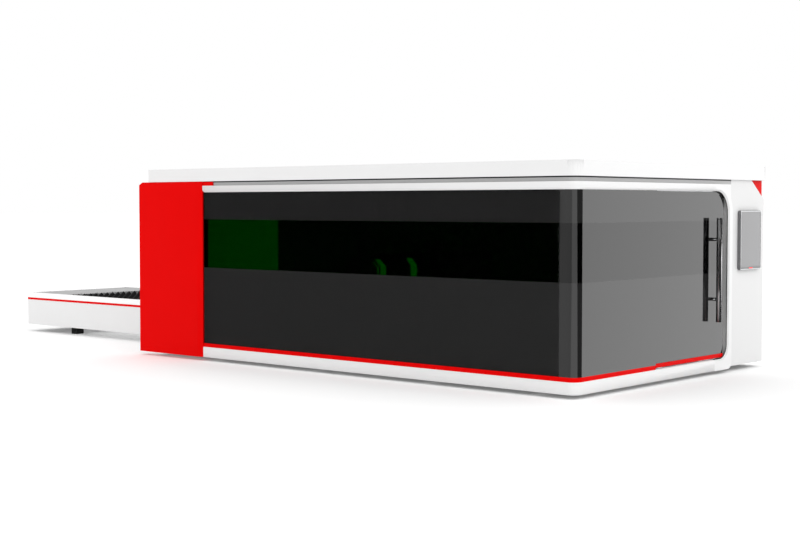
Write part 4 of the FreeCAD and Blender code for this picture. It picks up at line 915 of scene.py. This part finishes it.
class LASER_OT_sliding_door(bpy.types.Operator):
    """Trim and shoes of the sliding door, the rubber bead around it, and the handle's caps"""
    bl_idname = "laser.sliding_door"
    bl_label = "Sliding door"

    def execute(self, context):
        shoes = []
        for mesh, low, high in islands("door_rails"):
            if high.y - low.y < 0.2:
                shoes.append(mesh)
            else:
                name, finish = "door_head_rail", "banded_glass"
                if high.z < CAD_HIGH.z / 2:
                    name, finish = "door_foot_trim", "red_paint"
                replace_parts(piece(name, mesh, "operator_door", finish), "door_rails")
        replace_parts(piece("door_glide_shoes", joined(shoes), "operator_door", "aluminium"), "door_rails")
        radius = sizes().gasket_radius
        low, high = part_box("end_upright")
        inner = high.y - UPRIGHT_WIDE - radius
        top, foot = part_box("header")[0].z - radius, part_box("sill")[1].z + radius
        x = high.x - GASKET_INSET
        route = [(x, low.y + CLEAR, top)]
        route += arc(x, inner, top, -1, OPENING_TOP_ROUND)
        route += list(reversed(arc(x, inner, foot, 1, OPENING_FOOT_ROUND)))
        route.append((x, low.y + CLEAR, foot))
        piece("door_rubber_bead", tube(route, radius), "machine", "black_rubber")
        low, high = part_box("handle")
        bar_x, bar_y, bar_radius = high.x - HANDLE_ROUND, (low.y + high.y) / 2, HANDLE_ROUND
        caps = []
        for z, side in ((low.z, 1), (high.z, -1)):
            profile = [(bar_radius * 0.6, -0.001 * side), (bar_radius * 0.97, 0.002 * side),
                       (bar_radius * 0.99, 0.008 * side), (bar_radius * 0.9, 0.012 * side)]
            caps.append(moved(lathe(profile, 32), (bar_x, bar_y, z)))
        piece("handle_caps", joined(caps), "operator_door", "polished_steel")
        low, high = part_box("end_upright")
        outer = arc(0, high.y, high.z, -1, UPRIGHT_OUTER_ROUND)
        outline = [(y, z) for x, y, z in outer] + [(high.y, high.z)]
        piece("upright_corner_plate", sheet_of(outline, low.x, low.x + 0.004), "machine", "white_paint")
        return {"FINISHED"}


class LASER_OT_screen(bpy.types.Operator):
    """Surround of the operator's screen and the status lamp under it"""
    bl_idname = "laser.screen"
    bl_label = "Screen details"

    def execute(self, context):
        low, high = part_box("monitor_shell")
        half = sizes().lamp_length / 2
        middle = (low.y + high.y) / 2
        front = high.x
        surround = rectangle_frame((front - 0.002, low.y + 0.004, low.z + 0.004),
                                   (front + 0.0015, high.y - 0.004, high.z - 0.004), 0.007, 0.0005)
        piece("screen_surround", surround, "machine", "aluminium")
        foot, top = low.z + 0.014, low.z + 0.024
        cell = 2 * half / LAMP_CELLS
        edges = [middle - half + step * cell for step in range(LAMP_CELLS)]
        cells = [bar((front - 0.001, edge, foot), (front + 0.002, edge + cell - 0.0006, top), 0.0012, 3)
                 for edge in edges]
        rim = rectangle_frame((front - 0.001, middle - half - 0.002, foot - 0.002),
                              (front + 0.0012, middle + half + 0.002, top + 0.002), 0.002, 0.0004)
        piece("status_lamp", joined(cells), "machine", "lamp_red")
        piece("status_lamp_rim", rim, "machine", "black_plastic")
        return {"FINISHED"}


class LASER_OT_inside(bpy.types.Operator):
    """Work lamp on the inner left wall, and guide strips beside the bed: bent brackets, no lamps, made to
    glow as painted light
    """
    bl_idname = "laser.inside"
    bl_label = "Inside lamps"

    def execute(self, context):
        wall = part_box("left_wall")[1].x
        low, high = (wall, LAMP_SPAN[0], LAMP_HEIGHT[0]), (wall + 0.03, LAMP_SPAN[1], LAMP_HEIGHT[1])
        piece("work_lamp_frame", rectangle_frame(low, high, 0.012, 0.002), "machine", "aluminium")
        flute = lathe([(0.004, 0), (0.006, 0.004), (0.006, LAMP_HEIGHT[1] - LAMP_HEIGHT[0] - 0.024),
                       (0.004, LAMP_HEIGHT[1] - LAMP_HEIGHT[0] - 0.02)], 12)
        foot = (wall + 0.016, LAMP_SPAN[0] + 0.016, LAMP_HEIGHT[0] + 0.01)
        rows = [row(foot, (foot[0], LAMP_SPAN[1] - 0.016, foot[2]), 0.0115)]
        repeated("work_lamp_diffuser", flute, row_tree(), rows, "machine", "lamp_white")
        strips = []
        for x, wide, bend, lean, top in GUIDE_STRIPS:
            strips.append(bar((x, STRIP_LINE[0], STRIP_FOOT), (x + wide, STRIP_LINE[1], bend), 0.001))
            strips.append(leaning(x, wide, bend, lean, top))
        # Painted glow: these brackets shine though they are no lamps
        piece("lit_guide_strips", joined(strips), "machine", "painted_glow_strip_finish")
        return {"FINISHED"}


class LASER_OT_drives(bpy.types.Operator):
    """Rollers of the pallet chains, ribs of the energy chain, lock nuts, head ring and plugs"""
    bl_idname = "laser.drives"
    bl_label = "Drive details"

    def execute(self, context):
        size = sizes()
        tree = row_tree()
        low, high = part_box("pallet_chains")
        radius = (high.z - low.z) / 2 - CHAIN_PLATE_HALF
        middle = (high.z + low.z) / 2
        first, last = low.x + radius + 0.05, high.x - radius - 0.05
        rows = [row((first, y, z), (last, y, z), size.roller_pitch, (math.radians(90), 0, 0))
                for y in (low.y + CHAIN_HALF + ROLLER_HALF, high.y - CHAIN_HALF + ROLLER_HALF)
                for z in (middle - radius, middle + radius)]
        roller = lathe([(0.0045, 0.0002), (0.005, 0.001), (0.005, 0.0068), (0.0045, 0.0076)], 10)
        repeated("chain_rollers", roller, tree, rows, "machine", "bare_steel")
        chain = [solid for solid in islands("energy_chain") if solid[2].z - solid[1].z > 0.05][0]
        low, high = chain[1], chain[2]
        rib_low = (-0.004, low.y - 0.0015, -BAND_HALF)
        rib = bar(rib_low, (0.004, high.y + 0.0015, BAND_HALF + 0.0015), 0.001)
        rows = [row((low.x + 0.13, 0, z), (high.x - 0.02, 0, z), size.link_pitch)
                for z in (low.z + BAND_HALF, high.z - BAND_HALF)]
        repeated("energy_chain_ribs", rib, tree, rows, "machine", "black_plastic")
        rows = []
        for mesh, low, high in islands("feet"):
            if max(abs(high.x - low.x - FOOT_PAD_WIDE), abs(high.y - low.y - FOOT_PAD_WIDE)) < 0.002:
                place = Vector(((low.x + high.x) / 2, (low.y + high.y) / 2, FOOT_PAD_HIGH))
                rows.append({"Count": 1, "Start": place, "Step": Vector(), "Turn": Vector()})
        nut = hexagon_nut(size.nut_radius, 0.014)
        repeated("foot_lock_nuts", nut, tree, rows, "machine", "bare_steel")
        self.head(size)
        return {"FINISHED"}

    def head(self, size):
        """Copper ring, top plug and drive motor plugs."""
        low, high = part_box("cutting_head")
        axis = Vector((high.x - HEAD_AXIS_INSET, (low.y + high.y) / 2, 0))
        ring = lathe([(0.019, 0.0), (0.0245, 0.002), (0.0245, 0.014), (0.022, 0.018)], 32)
        piece("nozzle_ring", moved(ring, axis + Vector((0, 0, low.z + 0.036))), "head", "copper")
        plug = [(0.016, -0.002), (0.016, 0.01), (0.012, 0.012), (0.012, 0.03), (0.008, 0.034)]
        piece("head_fibre_plug", moved(lathe(plug), axis + Vector((0, 0, high.z))), "head", "bare_steel")
        plugs = [moved(lathe(plug), ((low.x + high.x) / 2, (low.y + high.y) / 2, high.z))
                 for mesh, low, high in islands("gantry_drives") if high.z - low.z > 0.15]
        piece("motor_plugs", joined(plugs), "gantry", "black_plastic")


class LASER_OT_cover_screws(bpy.types.Operator):
    """Screws of the far wall and the table cover, and louvres and locks of the far wall's two doors"""
    bl_idname = "laser.cover_screws"
    bl_label = "Cover screws"

    def execute(self, context):
        pitch = sizes().screw_pitch
        outward = (math.radians(-90), 0, 0)
        tree = row_tree()
        low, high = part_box("far_wall")
        y = high.y - CLEAR
        rows = []
        for z in (low.z + 0.03, high.z - 0.03):
            rows.append(row((low.x + 0.08, y, z), (high.x - 0.08, y, z), pitch, outward))
        repeated("far_wall_screws", button_screw(sizes().screw_radius), tree, rows, "machine", "bare_steel")
        for door in ("service_door", "electrical_door"):
            low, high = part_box(door)
            sheet_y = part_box("far_wall")[1].y
            rows = []
            for x in ((low.x * 3 + high.x) / 4, (low.x + high.x * 3) / 4):
                for base in (low.z + 0.18, high.z - 0.45):
                    end = (x, sheet_y, base + 8 * sizes().louvre_pitch)
                    rows.append(row((x, sheet_y, base), end, sizes().louvre_pitch))
            repeated(door + "_louvres", louvre(sizes().louvre_length, 0.007), tree, rows, door, "white_paint")
            latch = max(islands(door), key=lambda solid: -(solid[2].x - solid[1].x))
            middle = (latch[1] + latch[2]) / 2
            lock = lathe([(0.013, 0), (0.013, 0.002), (0.011, 0.0045), (0.004, 0.0045), (0.0036, 0.002)], 24)
            place = (middle.x, latch[2].y - CLEAR, middle.z + 0.03)
            piece(door + "_lock", moved(lock, place, outward), door, "bare_steel")
        low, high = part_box("table_cover")
        rows = [row((x, low.y + 0.04, high.z - CLEAR), (x, high.y - 0.04, high.z - CLEAR), pitch)
                for x in (low.x + 0.03, high.x - 0.03)]
        screw = button_screw(sizes().screw_radius)
        repeated("table_cover_screws", screw, tree, rows, "machine", "bare_steel")
        return {"FINISHED"}


class LASER_OT_stage(bpy.types.Operator):
    """White floor, studio light and the camera"""
    bl_idname = "laser.stage"
    bl_label = "Stage"

    def execute(self, context):
        scene = context.scene
        stage_floor()
        stage_light(scene)
        stage_camera(scene)
        return {"FINISHED"}


def stage_floor():
    """Wide white floor that gloss doesn't mirror."""
    mesh = bpy.data.meshes.new("studio_floor")
    half = FLOOR_SPAN / 2
    corners = ((-half, -half, 0), (half, -half, 0), (half, half, 0), (-half, half, 0))
    mesh.from_pydata(corners, [], [(0, 1, 2, 3)])
    finish = Finish("studio_floor", {"Base Color": (0.95, 0.95, 0.95), "Specular IOR Level": 0.0,
                                     "Emission Color": (1, 1, 1), "Emission Strength": 0.12})
    finish.set("Roughness", 0.8 + finish.noise(0.5) * 0.1)
    mesh.materials.append(finish.material)
    floor = bpy.data.objects.new("studio_floor", mesh)
    bpy.context.scene.collection.objects.link(floor)
    floor.visible_glossy = False


def panel_light(name, first, last, power):
    """Upright card that only gloss sees, between two angles round the glazed corner.

    The power is its radiance.
    """
    centre = around((first + last) / 2, CARD_DISTANCE, CARD_HEIGHT)
    half = CARD_DISTANCE * math.tan(math.radians((last - first) / 2))
    size = (2 * half, CARD_TALL)
    light = bpy.data.lights.new(name, "AREA")
    light.shape = "RECTANGLE"
    light.size, light.size_y = size
    light.energy = power * math.pi * size[0] * size[1]
    holder = bpy.data.objects.new(name, light)
    holder.location = centre
    holder.rotation_mode = "QUATERNION"
    holder.rotation_quaternion = (around(0, 0, CARD_HEIGHT) - centre).to_track_quat("-Z", "Y")
    holder.visible_camera = False
    holder.visible_diffuse = False
    bpy.context.scene.collection.objects.link(holder)


def around(angle, distance, height):
    """A place round the glazed corner; 0 degrees is in front of the long side, 90 off its end."""
    corner = Vector((CAD_HIGH.x, CAD_LOW.y, 0))
    turn = math.radians(angle)
    return corner + Vector((distance * math.sin(turn), -distance * math.cos(turn), height))


def stage_light(scene):
    """Even white surround for matt surfaces, and cards that only gloss sees."""
    world = bpy.data.worlds.new("studio")
    world.use_nodes = True
    tree = world.node_tree
    background = tree.nodes["Background"]
    path = tree.nodes.new("ShaderNodeLightPath")
    shown = tree.nodes.new("ShaderNodeMath")
    shown.operation = "SUBTRACT"
    shown.inputs[0].default_value = 1.0
    tree.links.new(path.outputs["Is Glossy Ray"], shown.inputs[1])
    tree.links.new(shown.outputs[0], background.inputs["Strength"])
    background.inputs["Color"].default_value = (1, 1, 1, 1)
    scene.world = world
    for card in CARDS:
        panel_light(*card)
    key = bpy.data.lights.new("end_key", "SUN")
    key.energy = 0.5
    key.angle = math.radians(40)
    holder = bpy.data.objects.new("end_key", key)
    holder.rotation_mode = "QUATERNION"
    holder.rotation_quaternion = Vector((-1, 0, -0.9)).to_track_quat("-Z", "Y")
    holder.visible_glossy = False
    scene.collection.objects.link(holder)
    scene.view_settings.view_transform = "Standard"
    scene.view_settings.look = "None"


def stage_camera(scene):
    """Camera at the glazed corner, a little below eye height."""
    data = bpy.data.cameras.new("camera")
    data.lens = LENS
    data.sensor_width = 36.0
    data.clip_end = 500
    camera = bpy.data.objects.new("camera", data)
    camera.location = CAMERA_PLACE
    camera.rotation_mode = "QUATERNION"
    camera.rotation_quaternion = Vector(CAMERA_AIM).to_track_quat("-Z", "Y")
    scene.collection.objects.link(camera)
    scene.camera = camera


class LASER_PT_panel(bpy.types.Panel):
    """Sizes, colours and steps of the laser machine"""
    bl_idname = "LASER_PT_panel"
    bl_label = "Laser Machine"
    bl_space_type = "VIEW_3D"
    bl_region_type = "UI"
    bl_category = "Laser Machine"

    def draw(self, context):
        for group in (context.scene.laser_sizes, context.scene.laser_colours):
            column = self.layout.column()
            for name in group.__annotations__:
                column.prop(group, name)
        for step in STEPS:
            self.layout.operator(step.bl_idname)


STEPS = (LASER_OT_finishes, LASER_OT_glazing, LASER_OT_sliding_door, LASER_OT_screen, LASER_OT_inside,
         LASER_OT_drives, LASER_OT_cover_screws, LASER_OT_stage)
CLASSES = (LaserMachineSizes, LaserMachineColours, *STEPS, LASER_PT_panel)


def register():
    for each in CLASSES:
        bpy.utils.register_class(each)
    bpy.types.Scene.laser_sizes = bpy.props.PointerProperty(type=LaserMachineSizes)
    bpy.types.Scene.laser_colours = bpy.props.PointerProperty(type=LaserMachineColours)


def unregister():
    del bpy.types.Scene.laser_sizes
    del bpy.types.Scene.laser_colours
    for each in reversed(CLASSES):
        bpy.utils.unregister_class(each)


def main():
    """Build everything."""
    register()
    for step in STEPS:
        group, name = step.bl_idname.split(".")
        getattr(getattr(bpy.ops, group), name)()


if __name__ == "__main__":
    main()
